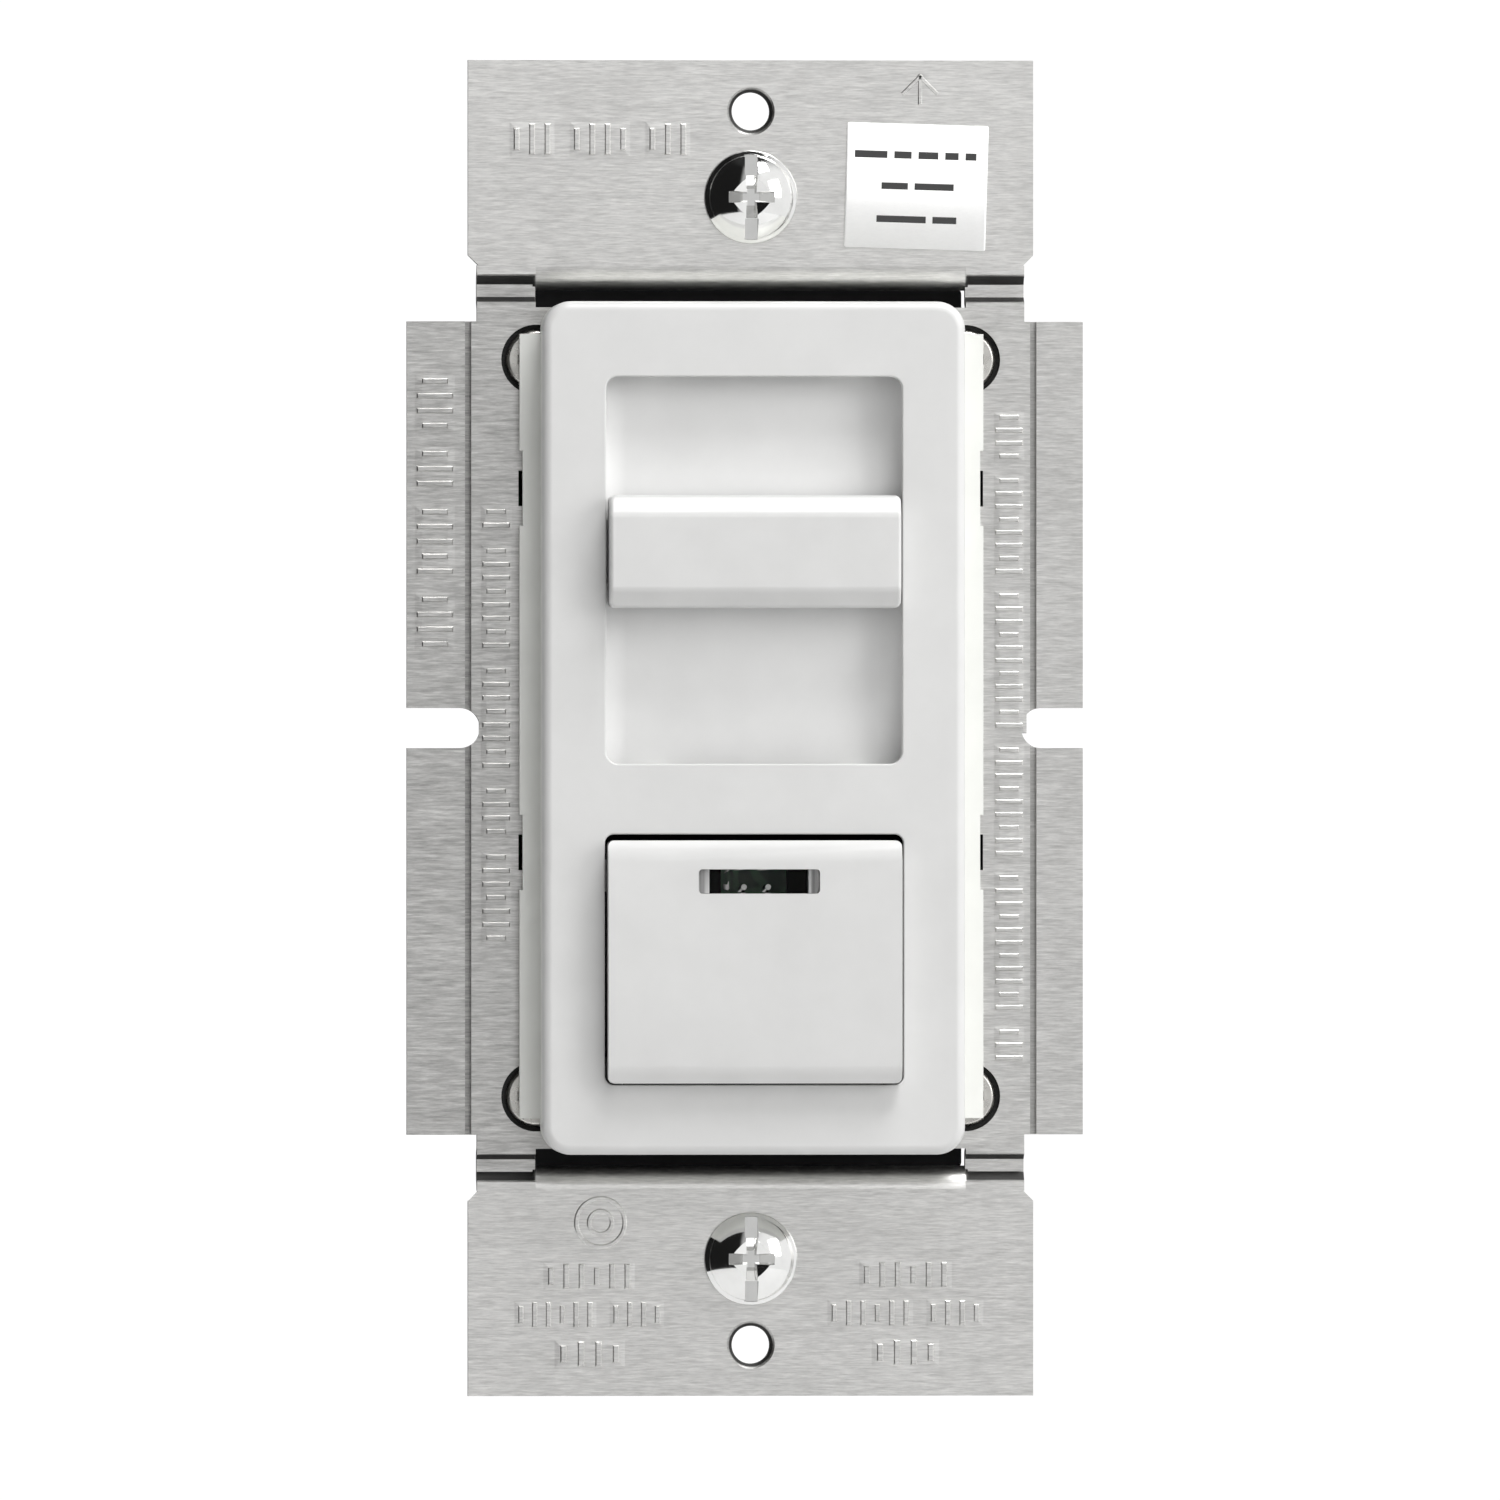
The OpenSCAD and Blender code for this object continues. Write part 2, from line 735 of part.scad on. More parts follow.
module plunger_spring() {
    sides = 8;
    steps = 20;
    rings = spring_turns * steps;
    length = seat[0] - collar[1] - 2 * spring_wire - 0.1;
    points = [for (n = [0:rings]) each coil_ring(n / steps, length, sides)];
    walls = [for (n = [0:rings - 1], i = [0:sides - 1])
        [n * sides + i, n * sides + (i + 1) % sides,
            (n + 1) * sides + (i + 1) % sides, (n + 1) * sides + i]];
    ends = [[for (i = [sides - 1:-1:0]) i], [for (i = [0:sides - 1]) rings * sides + i]];
    color("silver") translate([0, collar[1] + spring_wire + 0.05, plunger_z])
        polyhedron(points, concat(walls, ends), convexity = 6);
}

module contact_bridge() {
    color("gold") {
        along_y(bridge_y[0], bridge_y[1])
            translate([0, plunger_z]) rounded(bridge_size[0], bridge_size[1], 1);
        for (side = [-1, 1])
            rod_y(side * contact_x, plunger_z, contact_r, bridge_y[1] - eps, bridge_tip);
    }
}

module fixed_contacts() {
    color("gold") for (side = [-1, 1]) {
        rod_y(side * contact_x, plunger_z, contact_r, fixed_contact_y, switch_y[1] + 0.5);
        rod_y(side * contact_x, plunger_z, contact_stem_r, switch_y[1], power_y[1] + 0.5);
    }
}

// Cover, boards and what is on them ------------------------------------------

module inner_cover() {
    color("black") difference() {
        union() {
            along_y(cover_y[0], cover_y[1]) rounded(cover_size[0], cover_size[1], 1);
            for (side = [-1, 1], z = standoff_z)
                rod_y(side * standoff_x, z, standoff_r, cover_y[0] + 0.5, control_y[0]);
        }
        for (side = [-1, 1]) {
            along_y(0, 3) {
                translate([side * leg_slot[0], pot_z]) square([leg_slot[1], leg_slot[2]], center = true);
                for (z = hook_z) translate([side * hook_relief[0], z])
                    square([hook_relief[1], hook_relief[2]], center = true);
            }
            for (sz = [-1, 1]) rod_y(side * corner[0], sz * corner[1], corner_hole_r, 0, 3);
            for (z = standoff_z)
                rod_y(side * standoff_x, z, board_screw_r + thread_fit, 3, control_y[0] + 1);
        }
        rod_y(0, plunger_z, plunger_r + 0.6, 0, 3);
        along_y(0, 3) translate([lens_x, lens_z])
            rounded(lamp[0] + 0.6, lamp[1] + 0.6, lamp_r);
    }
}

module control_board() {
    color("green") along_y(control_y[0], control_y[1]) difference() {
        union() {
            translate([0, 5.5]) square([board_w, 38.2], center = true);
            translate([0, 24]) square([25.6, 13.2], center = true);
        }
        for (side = [-1, 1], z = standoff_z)
            translate([side * standoff_x, z]) circle(board_screw_r + 0.1);
        for (sx = [-1, 1], sz = [-1, 1])
            translate([sx * pot_pins[0], pot_z + sz * pot_pins[1]]) circle(pot_pin_r + hole_fit);
        for (side = [-1, 1])
            translate([lens_x + side * lead_pitch / 2, lead_z]) circle(lead_r + hole_fit);
        for (n = [0:3]) translate([link_x(n), link_z]) circle(link_r + hole_fit);
    }
}

// A small pan-head screw whose head sits at y and whose shank runs forwards or back
module small_screw(x, z, y, way) {
    head = [1.9, 1.2];
    color("silver") translate([x, y, z]) scale([1, way, 1]) difference() {
        turned_y(0, 0) polygon([[0, -head[1]], [head[0] - 0.4, -head[1]],
            [head[0], 0.4 - head[1]], [head[0], 0], [board_screw_r, 0],
            [board_screw_r, board_screw_l], [0, board_screw_l]]);
        cross_recess(2.2, 0.5, -2 * head[1], -head[1] / 2);
    }
}

module control_board_screws() {
    for (side = [-1, 1], z = standoff_z)
        small_screw(side * standoff_x, z, control_y[1] + hole_fit, -1);
}

module transistor() {
    flat = 1.4;
    color("black") along_y(transistor_y[0], transistor_y[1]) translate(transistor_at) difference() {
        circle(2.3);
        translate([0, -flat - 1]) square([6, 2], center = true);
    }
    color("silver") for (n = [-1:1])
        rod_y(transistor_at[0] + n * transistor_pitch, transistor_at[1] + 0.2, 0.22,
            control_y[1] + eps, transistor_y[0] + 0.1);
}

// Three resistors that lie along Z, each with its leads bent down to the board
module resistors() {
    lead = 0.28;
    reach = resistor_l / 2 + 1.2;
    for (n = [0:2]) translate([resistor_pitch * n - 13.5, resistor_y, 4]) {
        color("tan") {
            cylinder(r = resistor_r, h = resistor_l, center = true);
            for (end = [-1, 1]) translate([0, 0, end * (resistor_l / 2 - 0.6)])
                cylinder(r = resistor_r + 0.25, h = 1.2, center = true);
        }
        color("silver") for (end = [-1, 1]) {
            translate([0, 0, end * (reach - 0.6)]) cylinder(r = lead, h = 1.4, center = true);
            translate([0, 0, end * reach])
                rod_y(0, 0, lead, control_y[1] + eps - resistor_y, lead);
        }
    }
}

module electrolytic_capacitor() {
    front = capacitor_y[0];
    back = capacitor_y[1];
    groove = 0.3;
    color("navy") difference() {
        turned_y(capacitor_at[0], capacitor_at[1])
            polygon([[0, front], [capacitor_r - 0.2, front], [capacitor_r, front + 0.25],
                [capacitor_r, front + 1.45], [capacitor_r - groove, front + 1.75],
                [capacitor_r, front + 2.05], [capacitor_r, back - groove],
                [capacitor_r - groove, back], [0, back]]);
        translate([capacitor_at[0], 0, capacitor_at[1]])
            cross_recess(4.4, 0.3, back - 0.2, back + 0.3);
    }
}

function link_x(n) = link_pitch * n;

module board_link_pins() {
    color("gold") for (n = [0:3]) rod_y(link_x(n), link_z, link_r, link_front, power_y[1] + 0.8);
}

module power_board() {
    color("darkgreen") along_y(power_y[0], power_y[1]) difference() {
        square([board_w, power_board_h], center = true);
        for (p = power_posts) translate(p) circle(board_screw_r + 0.1);
        for (side = [-1, 1])
            translate([side * contact_x, plunger_z]) circle(contact_stem_r + hole_fit);
        for (n = [0:3]) translate([link_x(n), link_z]) circle(link_r + hole_fit);
        for (side = [-1, 1])
            translate([varistor_at[0], varistor_at[2] + side * varistor_lead[0]])
                circle(varistor_lead[1] + hole_fit);
    }
}

module power_board_screws() {
    for (p = power_posts) small_screw(p[0], p[1], power_y[0] - hole_fit, 1);
}

module film_capacitor() {
    color("gold") along_y(film_front, power_y[0] - 0.05)
        translate(film_at) rounded(film_size[0], film_size[1], 0.8);
}

module choke_core() {
    color("darkslategray") along_y(choke_y[0], choke_y[1]) translate(choke_at) difference() {
        circle(choke_r[1]);
        circle(choke_r[0]);
    }
}

// A rectangle around the ring's section, larger by the given margin on each side
module choke_section(margin) {
    translate([choke_y[0] - margin, choke_r[0] - margin])
        square([choke_y[1] - choke_y[0] + 2 * margin, choke_r[1] - choke_r[0] + 2 * margin]);
}

// Turns of copper wire around the core, each a closed rectangular loop
module choke_winding() {
    gap = 0.06;
    color("peru") translate([choke_at[0], 0, choke_at[1]])
        for (n = [0:choke_turns - 1]) rotate([0, 30 + 300 * n / (choke_turns - 1), 0])
            along_x(-choke_wire / 2, choke_wire / 2) difference() {
                choke_section(choke_wire);
                choke_section(gap);
            }
}

// Disc varistor that stands on edge across the board
module varistor() {
    color("royalblue") translate(varistor_at) rotate([0, 90, 0])
        cylinder(r = varistor_r, h = varistor_t, center = true);
    color("silver") for (side = [-1, 1])
        rod_y(varistor_at[0], varistor_at[2] + side * varistor_lead[0], varistor_lead[1],
            varistor_at[1] + varistor_r - 0.9, power_y[1] + 0.6);
}

// Back housing -------------------------------------------------------------

module back_housing() {
    rim = cover_y[1] + 0.05;
    color("dimgray") difference() {
        union() {
            difference() {
                union() {
                    along_y(cover_y[0], housing_d) rounded(housing_w, shoulder_h, housing_r);
                    along_y(tongue_front, housing_d) rounded(tongue[0], tongue[1], 0.6);
                }
                along_y(cover_y[0] - 1, rim) rounded(cover_size[0] + 0.2, cover_size[1] + 0.2, 1);
                along_y(0, floor_y) rounded(cavity[0], cavity[1], 1);
            }
            both_x() both_z() intersection() {
                rod_y(corner[0], corner[1], boss, rim, floor_y + eps);
                along_y(rim, floor_y + eps) square([housing_w - 1, shoulder_h - 1], center = true);
            }
            for (p = power_posts) rod_y(p[0], p[1], post, power_y[1] + hole_fit, floor_y + eps);
        }
        both_x() both_z()
            rod_y(corner[0], corner[1], corner_shank_r + thread_fit, 0, corner_tip + 2.5);
        for (p = power_posts)
            rod_y(p[0], p[1], board_screw_r + thread_fit, power_y[0], housing_d - 0.4);
        for (h = lead_holes) rod_y(h[0], h[1], h[2], floor_y - 1, housing_d + 1);
    }
}

mounting_strap();
mounting_screws();
screw_retainers();
housing_screws();
rating_label();
face_frame();
track_plate();
slider_bar();
slider_carriage();
pot_lever();
wiper_contacts();
pot_case();
pot_element();
pot_terminals();
push_pad();
locator_lens();
locator_lamp();
lamp_leads();
lamp_shroud();
switch_case();
switch_plunger();
plunger_spring();
contact_bridge();
fixed_contacts();
inner_cover();
control_board();
control_board_screws();
transistor();
resistors();
electrolytic_capacitor();
board_link_pins();
power_board();
power_board_screws();
film_capacitor();
choke_core();
choke_winding();
varistor();
back_housing();
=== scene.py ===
"""Slide dimmer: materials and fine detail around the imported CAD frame. Lengths are in metres."""
import json
import math

import bmesh
import bpy
from mathutils import Matrix, Vector


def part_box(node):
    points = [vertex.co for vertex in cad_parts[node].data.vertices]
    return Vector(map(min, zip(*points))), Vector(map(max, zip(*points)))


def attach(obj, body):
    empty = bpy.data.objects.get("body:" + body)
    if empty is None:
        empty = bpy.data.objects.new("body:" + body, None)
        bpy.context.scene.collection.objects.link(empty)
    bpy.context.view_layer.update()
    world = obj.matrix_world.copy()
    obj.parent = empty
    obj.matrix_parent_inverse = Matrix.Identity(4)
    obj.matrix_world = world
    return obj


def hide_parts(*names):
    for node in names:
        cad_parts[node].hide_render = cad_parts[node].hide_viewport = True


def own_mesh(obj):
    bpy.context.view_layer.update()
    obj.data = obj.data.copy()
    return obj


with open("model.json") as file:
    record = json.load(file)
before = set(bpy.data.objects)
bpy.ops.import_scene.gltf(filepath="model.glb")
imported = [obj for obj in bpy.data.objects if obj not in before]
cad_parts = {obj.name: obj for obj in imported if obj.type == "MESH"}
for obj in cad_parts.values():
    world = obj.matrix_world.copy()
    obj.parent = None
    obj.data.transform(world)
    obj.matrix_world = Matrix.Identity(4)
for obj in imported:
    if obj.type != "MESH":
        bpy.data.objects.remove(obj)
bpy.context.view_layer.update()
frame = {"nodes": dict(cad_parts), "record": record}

MM = 0.001
nodes = frame["nodes"]
scene = bpy.context.scene
strap_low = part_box("mounting_strap")[0]
strap_front = strap_low.y


def add_object(name, data):
    """A new object in the scene."""
    obj = bpy.data.objects.new(name, data)
    scene.collection.objects.link(obj)
    return obj


# Camera, light and stage ------------------------------------------------------

VIEW_WIDTH = 117.55 * MM  # what the picture spans at the strap's front
VIEW_CENTRE_Z = -1.72 * MM
CAMERA_DISTANCE = 2.0
CAMERA_YAW = math.radians(2.9)  # to the left of straight ahead
SENSOR = 36.0  # mm, as is the focal length


def aim(obj, target):
    """Turns a light or camera so that its -Z axis points at the target."""
    direction = Vector(target) - obj.location
    obj.rotation_euler = direction.to_track_quat("-Z", "Y").to_euler()


def add_camera():
    """A long lens a little to the left of the object, level with the middle of the picture."""
    data = bpy.data.cameras.new("camera")
    data.sensor_width = SENSOR
    data.lens = SENSOR * CAMERA_DISTANCE / VIEW_WIDTH
    camera = add_object("camera", data)
    camera.location = (-math.tan(CAMERA_YAW) * CAMERA_DISTANCE, strap_front - CAMERA_DISTANCE,
                       VIEW_CENTRE_Z)
    aim(camera, (0.0, 0.0, VIEW_CENTRE_Z))
    scene.camera = camera


def add_light(name, place, size, watts, tint=(1.0, 1.0, 1.0), mirrored=True):
    """A rectangular softbox aimed at the object; mirrored says whether reflections show it."""
    data = bpy.data.lights.new(name, "AREA")
    data.shape = "RECTANGLE"
    data.size, data.size_y = size
    data.energy = watts
    data.color = tint
    light = add_object(name, data)
    light.location = place
    light.visible_glossy = mirrored
    aim(light, (0.0, 0.0, 0.0))


# Soft-edged patches of the studio: direction, dot product at the edge and inside, brightness.
# Each patch covers those before it.
ROOM = (
    ((0.0, -1.0, 0.0), -0.50, -0.36, 0.04),
    ((0.0, -1.0, 0.0), -0.10, 0.04, 0.46),
    ((0.85, -0.5, 0.1), 0.40, 0.75, 1.0),
    ((-1.0, 0.25, 0.10), 0.08, 0.22, 0.012),
    ((0.0, 0.0, 1.0), 0.88, 0.95, 0.03),
    ((-0.12, 0.0, -1.0), 0.88, 0.93, 1.15),
)
ROOM_BACK = 0.34
BACKDROP = 1.05


def add_world():
    """The studio that lights and reflections see, and the white backdrop that the camera sees."""
    world = bpy.data.worlds.new("studio")
    scene.world = world
    world.use_nodes = True
    tree = world.node_tree
    tree.nodes.clear()
    new = tree.nodes.new
    link = tree.links.new
    coords = new("ShaderNodeTexCoord")
    shade = None
    for direction, edge, inside, brightness in ROOM:
        toward = new("ShaderNodeVectorMath")
        toward.operation = "DOT_PRODUCT"
        toward.inputs[1].default_value = direction
        link(coords.outputs["Generated"], toward.inputs[0])
        patch = new("ShaderNodeMapRange")
        patch.interpolation_type = "SMOOTHSTEP"
        patch.inputs["From Min"].default_value = edge
        patch.inputs["From Max"].default_value = inside
        link(toward.outputs["Value"], patch.inputs["Value"])
        over = new("ShaderNodeMix")
        over.inputs["A"].default_value = ROOM_BACK
        over.inputs["B"].default_value = brightness
        link(patch.outputs["Result"], over.inputs["Factor"])
        if shade is not None:
            link(shade, over.inputs["A"])
        shade = over.outputs["Result"]
    studio = new("ShaderNodeBackground")
    link(shade, studio.inputs["Color"])
    backdrop = new("ShaderNodeBackground")
    backdrop.inputs["Color"].default_value = (1, 1, 1, 1)
    backdrop.inputs["Strength"].default_value = BACKDROP
    path = new("ShaderNodeLightPath")
    either = new("ShaderNodeMixShader")
    link(path.outputs["Is Camera Ray"], either.inputs[0])
    link(studio.outputs[0], either.inputs[1])
    link(backdrop.outputs[0], either.inputs[2])
    link(either.outputs[0], new("ShaderNodeOutputWorld").inputs[0])


FLOOR_RADIUS = 0.34
FLOOR_DROP = 0.10


def add_floor(material):
    """A plain pale floor, below the object, which hangs in its wall-box position."""
    mesh = bpy.data.meshes.new("floor")
    shape = bmesh.new()
    bmesh.ops.create_circle(shape, cap_ends=True, radius=FLOOR_RADIUS, segments=128)
    shape.to_mesh(mesh)
    shape.free()
    mesh.materials.append(material)
    floor = add_object("floor", mesh)
    floor.location = (0.0, 0.0, strap_low.z - FLOOR_DROP)


scene.view_settings.view_transform = "Standard"
add_camera()
add_world()
add_light("key", (0.78, -0.56, 0.32), (0.40, 0.55), 3.3, (1.0, 0.995, 0.985))
add_light("front", (0.14, -0.90, 0.38), (0.36, 0.36), 0.6)
add_light("top", (0.24, -0.35, 0.84), (0.50, 0.30), 8.6)
add_light("low_fill", (-0.30, -0.55, -0.65), (0.34, 0.34), 1.0, mirrored=False)
add_light("left_fill", (-0.98, -0.18, 0.0), (0.40, 0.60), 2.8, mirrored=False)
add_light("back", (-0.45, 0.95, 0.50), (0.60, 0.60), 5.0)


# Materials ----------------------------------------------------------------------

class Look:
    """A Principled material with procedural colour, roughness and bump.

    Texture scales count features per metre along the object's own axes.
    """

    def __init__(self, name, **sockets):
        self.material = bpy.data.materials.new(name)
        self.material.use_nodes = True
        self.tree = self.material.node_tree
        self.shader = self.tree.nodes["Principled BSDF"]
        self.place = self.tree.nodes.new("ShaderNodeTexCoord").outputs["Object"]
        self.height = None
        for socket, value in sockets.items():
            self.feed(self.shader.inputs[socket.replace("_", " ")], value)

    def feed(self, socket, value):
        """Links a socket to another node's output, or sets its value."""
        if isinstance(value, bpy.types.NodeSocket):
            self.tree.links.new(value, socket)
        else:
            socket.default_value = value

    def node(self, kind, **sockets):
        """A new node with some of its inputs fed; _ stands for the space in their names."""
        node = self.tree.nodes.new("ShaderNode" + kind)
        for socket, value in sockets.items():
            self.feed(node.inputs[socket.replace("_", " ")], value)
        return node

    def stretched(self, scale):
        """The object's coordinates, scaled by one number or by one for each axis."""
        size = scale if isinstance(scale, tuple) else (scale,) * 3
        return self.node("Mapping", Vector=self.place, Scale=size).outputs["Vector"]

    def noise(self, scale, detail=4.0, rough=0.55, distortion=0.0):
        node = self.node("TexNoise", Vector=self.stretched(scale), Scale=1.0, Detail=detail,
                         Roughness=rough, Distortion=distortion)
        return node.outputs["Fac"]

    def cells(self, scale, feature="F1"):
        node = self.node("TexVoronoi", Vector=self.stretched(scale), Scale=1.0)
        node.feature = feature
        return node.outputs["Distance"]

    def ranged(self, value, low, high, from_low=0.3, from_high=0.7):
        """Maps a value from its own range onto low to high."""
        node = self.node("MapRange", Value=value, From_Min=from_low, From_Max=from_high,
                         To_Min=low, To_Max=high)
        return node.outputs["Result"]

    def step(self, value, low, high):
        """Goes smoothly from 0 at low to 1 at high; low may be the greater of the two."""
        node = self.node("MapRange", Value=value, From_Min=min(low, high),
                         From_Max=max(low, high), To_Min=float(low > high),
                         To_Max=float(low < high))
        node.interpolation_type = "SMOOTHSTEP"
        return node.outputs["Result"]

    def ramp(self, value, stops):
        node = self.node("ValToRGB", Fac=value)
        ramp = node.color_ramp
        while len(ramp.elements) < len(stops):
            ramp.elements.new(0.5)
        for element, (place, colour) in zip(ramp.elements, stops):
            element.position = place
            element.color = (*colour, 1.0)
        return node.outputs["Color"]

    def math(self, operation, a, b=0.0):
        node = self.node("Math")
        node.operation = operation
        self.feed(node.inputs[0], a)
        self.feed(node.inputs[1], b)
        return node.outputs[0]

    def axes(self):
        """The object's own x, y and z."""
        return self.node("SeparateXYZ", Vector=self.place).outputs

    def mix(self, under, over, amount, blend="MIX"):
        """One colour over another."""
        node = self.node("Mix", Factor=amount)
        node.data_type = "RGBA"
        node.blend_type = blend
        self.feed(node.inputs[6], under)
        self.feed(node.inputs[7], over)
        return node.outputs[2]

    def multiply(self, a, b, amount=1.0):
        return self.mix(a, b, amount, "MULTIPLY")

    def colour(self, value):
        self.feed(self.shader.inputs["Base Color"], value)

    def roughness(self, value):
        self.feed(self.shader.inputs["Roughness"], value)

    def bump(self, value, depth, strength):
        """Adds a height field; later ones lie on top of earlier ones. depth is in metres."""
        node = self.node("Bump", Height=value, Distance=depth, Strength=strength)
        if self.height is not None:
            self.feed(node.inputs["Normal"], self.height)
        self.height = node.outputs["Normal"]
        self.feed(self.shader.inputs["Normal"], self.height)


def tones(colour, dark, light):
    """Ramp stops from a darker to a lighter shade of a colour."""
    return [(0.3, tuple(c * dark for c in colour)), (0.7, tuple(min(1, c * light) for c in colour))]


def greys(first, last, start=0.3, end=0.7):
    """Ramp stops from one grey to another."""
    return [(start, (first,) * 3), (end, (last,) * 3)]


def mould(look, gloss, grain=6000.0, grain_depth=2e-6):
    """Gives a look a moulding's uneven gloss, slow waves and spark-eroded grain."""
    look.roughness(look.ranged(look.noise(900.0, 3.0), gloss - 0.05, gloss + 0.06))
    look.bump(look.noise(90.0, 2.0), 1.2e-5, 0.25)
    look.bump(look.noise(grain, 2.0), grain_depth, 0.6)


def mottled(look, colour, contrast=(0.97, 1.02)):
    """A colour with slow, faint spots."""
    return look.ramp(look.noise(220.0, 5.0), tones(colour, *contrast))


def plastic(name, colour, gloss=0.4, contrast=(0.97, 1.02), shine=0.5, **grain):
    """Moulded plastic, faintly mottled."""
    look = Look(name, Specular_IOR_Level=shine)
    look.colour(mottled(look, colour, contrast))
    mould(look, gloss, **grain)
    return look.material


FLANGE_DEPTH = (1.5 * MM, 2.5 * MM)  # how far behind the frame's front its flange lies


def frame_plastic(name, bezel, flange):
    """Moulded plastic whose set-back flange is warmer and lighter than the bezel, in part its own
    tone and in part painted light that offsets the bezel's shade on it.
    """
    look = Look(name, Specular_IOR_Level=0.5)
    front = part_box("face_frame")[0].y
    behind = look.step(look.axes()[1], *(front + depth for depth in FLANGE_DEPTH))
    flange_tone_and_light = look.ramp(look.noise(240.0, 4.0), tones(flange, 0.97, 1.02))
    look.colour(look.mix(mottled(look, bezel), flange_tone_and_light, behind))
    mould(look, 0.36)
    return look.material


def glowing_lead_metal(name, colour):
    """Tinned wire with a faint glow of its own: a painted highlight for the bright lead tips."""
    look = Look(name, Metallic=0.2, Emission_Strength=0.25)
    look.colour(look.ramp(look.noise(3000.0, 2.0), tones(colour, 0.92, 1.04)))
    look.roughness(look.ranged(look.noise(2500.0, 2.0), 0.2, 0.35))
    look.bump(look.noise(4000.0, 2.0), 1.5e-6, 0.4)
    return look.material


def brush(look, colour, streak, contrast, depth):
    """Brushes a look; streak is the texture scale. Returns the colour and the fine streaks."""
    fine = look.noise(streak, 6.0, 0.65)
    broad = look.noise(tuple(s * 0.12 for s in streak), 3.0)
    blotch = look.noise(75.0, 4.0)
    shade = look.ramp(fine, tones(colour, *contrast))
    shade = look.multiply(shade, look.ramp(broad, greys(0.93, 1.0)))
    shade = look.multiply(shade, look.ramp(blotch, greys(0.95, 1.0, 0.35, 0.65)))
    look.bump(broad, depth * 2, 0.5)
    look.bump(fine, depth, 0.7)
    return shade, fine


def brushed(name, colour, streak, rough=(0.30, 0.46)):
    """Sheet metal or wire with a fine grain."""
    look = Look(name, Metallic=1.0)
    shade, fine = brush(look, colour, streak, (0.86, 1.08), 4e-6)
    look.colour(shade)
    look.roughness(look.ranged(fine, *rough))
    return look.material


# Where the strap's looks change: each pair is where a change starts and where it is complete
RECESS_FRONT, RECESS_BACK = (0.08 * MM, 0.2 * MM), (1.0 * MM, 0.93 * MM)  # depths below the front where painted shade darkens the recesses and the metal turns rougher
BESIDE_LIPS = (16.8 * MM, 17.0 * MM)  # to the left and right of the bent lips
INSIDE_LIPS = (33.4 * MM, 33.2 * MM)  # from the bent lips towards the middle
OUTSIDE_LIPS = (36.4 * MM, 36.6 * MM)  # from the bent lips out onto the ears
SCORED = (21.7 * MM, 21.8 * MM)  # the score lines and the fins outside them
BLOTCH_HEIGHT = (35.2 * MM, 34.2 * MM)
BLOTCH_WIDTH = 20.0 * MM  # the blotches' painted shade is full this far left of the middle, and least this far right


def strap_metal(name, colour, streak):
    """Brushed sheet with darker blotches over its middle, heaviest at the left: painted shade from
    light at the right. Painted shade darkens its recessed cut surfaces, score lines and fins less
    so, and these are rougher.
    """
    look = Look(name, Metallic=1.0)
    shade, fine = brush(look, colour, streak, (0.78, 1.14), 3.5e-6)
    x, y, z = look.axes()
    across = look.math("ABSOLUTE", x)
    along = look.math("ABSOLUTE", z)
    # Painted shade: darker blotches over the middle, full at the left and fading towards the right
    blotches = look.ramp(look.noise(tuple(s * 0.6 for s in streak), 5.0, 0.7),
                     greys(0.62, 0.94, 0.35, 0.65))
    blotch_shade = look.math("MULTIPLY", look.step(along, *BLOTCH_HEIGHT),
                     look.ranged(x, 1.0, 0.45, -BLOTCH_WIDTH, BLOTCH_WIDTH))
    shade = look.multiply(shade, blotches, blotch_shade)
    below_front = look.math("MULTIPLY", look.step(y, *(strap_front + d for d in RECESS_FRONT)),
                            look.step(y, *(strap_front + d for d in RECESS_BACK)))
    off_lips = look.math("MAXIMUM", look.step(across, *BESIDE_LIPS),
                         look.math("MAXIMUM", look.step(along, *INSIDE_LIPS),
                                   look.step(along, *OUTSIDE_LIPS)))
    cut = look.math("MULTIPLY", below_front, off_lips)
    # Painted shade: the recesses below the front are darkened to a tenth, the score lines and fins
    # much less
    recess_shade = look.math("MULTIPLY", cut,
                     look.ranged(look.step(across, *SCORED), 1.0, 0.25, 0.0, 1.0))
    look.colour(look.multiply(shade, look.ramp(recess_shade, greys(1.0, 0.10, 0.0, 1.0))))
    look.roughness(look.math("MAXIMUM", look.ranged(fine, 0.30, 0.42),
                             look.math("MULTIPLY", cut, 0.6)))
    return look.material


def flow_lines(look):
    """Gives a clear moulding its faint flow lines."""
    look.bump(look.noise((300.0, 300.0, 1400.0), 2.0), 6e-6, 0.3)


def clear_tone(look, colour):
    """The nearly even tint of a clear moulding."""
    return look.ramp(look.noise(150.0, 3.0), tones(colour, 0.96, 1.02))


FROSTED = (3.85 * MM, 3.95 * MM)  # how far from its middle the window is frosted


def lens(name, colour):
    """A clear window whose two ends are frosted."""
    look = Look(name, IOR=1.14)
    low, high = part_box("locator_lens")
    from_middle = look.math("ABSOLUTE", look.math("SUBTRACT", look.axes()[0],
                                                  (low.x + high.x) / 2))
    frost = look.step(from_middle, *FROSTED)
    milk = look.ramp(look.noise((2600.0, 60.0, 60.0), 2.0), greys(0.26, 0.62, 0.35, 0.65))
    look.colour(look.mix(clear_tone(look, colour), milk, frost))
    look.roughness(look.math("ADD", look.ranged(look.noise(700.0), 0.03, 0.08),
                             look.math("MULTIPLY", frost, 0.5)))
    look.feed(look.shader.inputs["Transmission Weight"], look.ranged(frost, 1.0, 0.12, 0.0, 1.0))
    flow_lines(look)
    return look.material


def clear(name, colour):
    """A clear moulding that hardly bends the light."""
    look = Look(name, Transmission_Weight=1.0, IOR=1.06)
    look.colour(clear_tone(look, colour))
    look.roughness(look.ranged(look.noise(700.0), 0.0, 0.06))
    flow_lines(look)
    return look.material


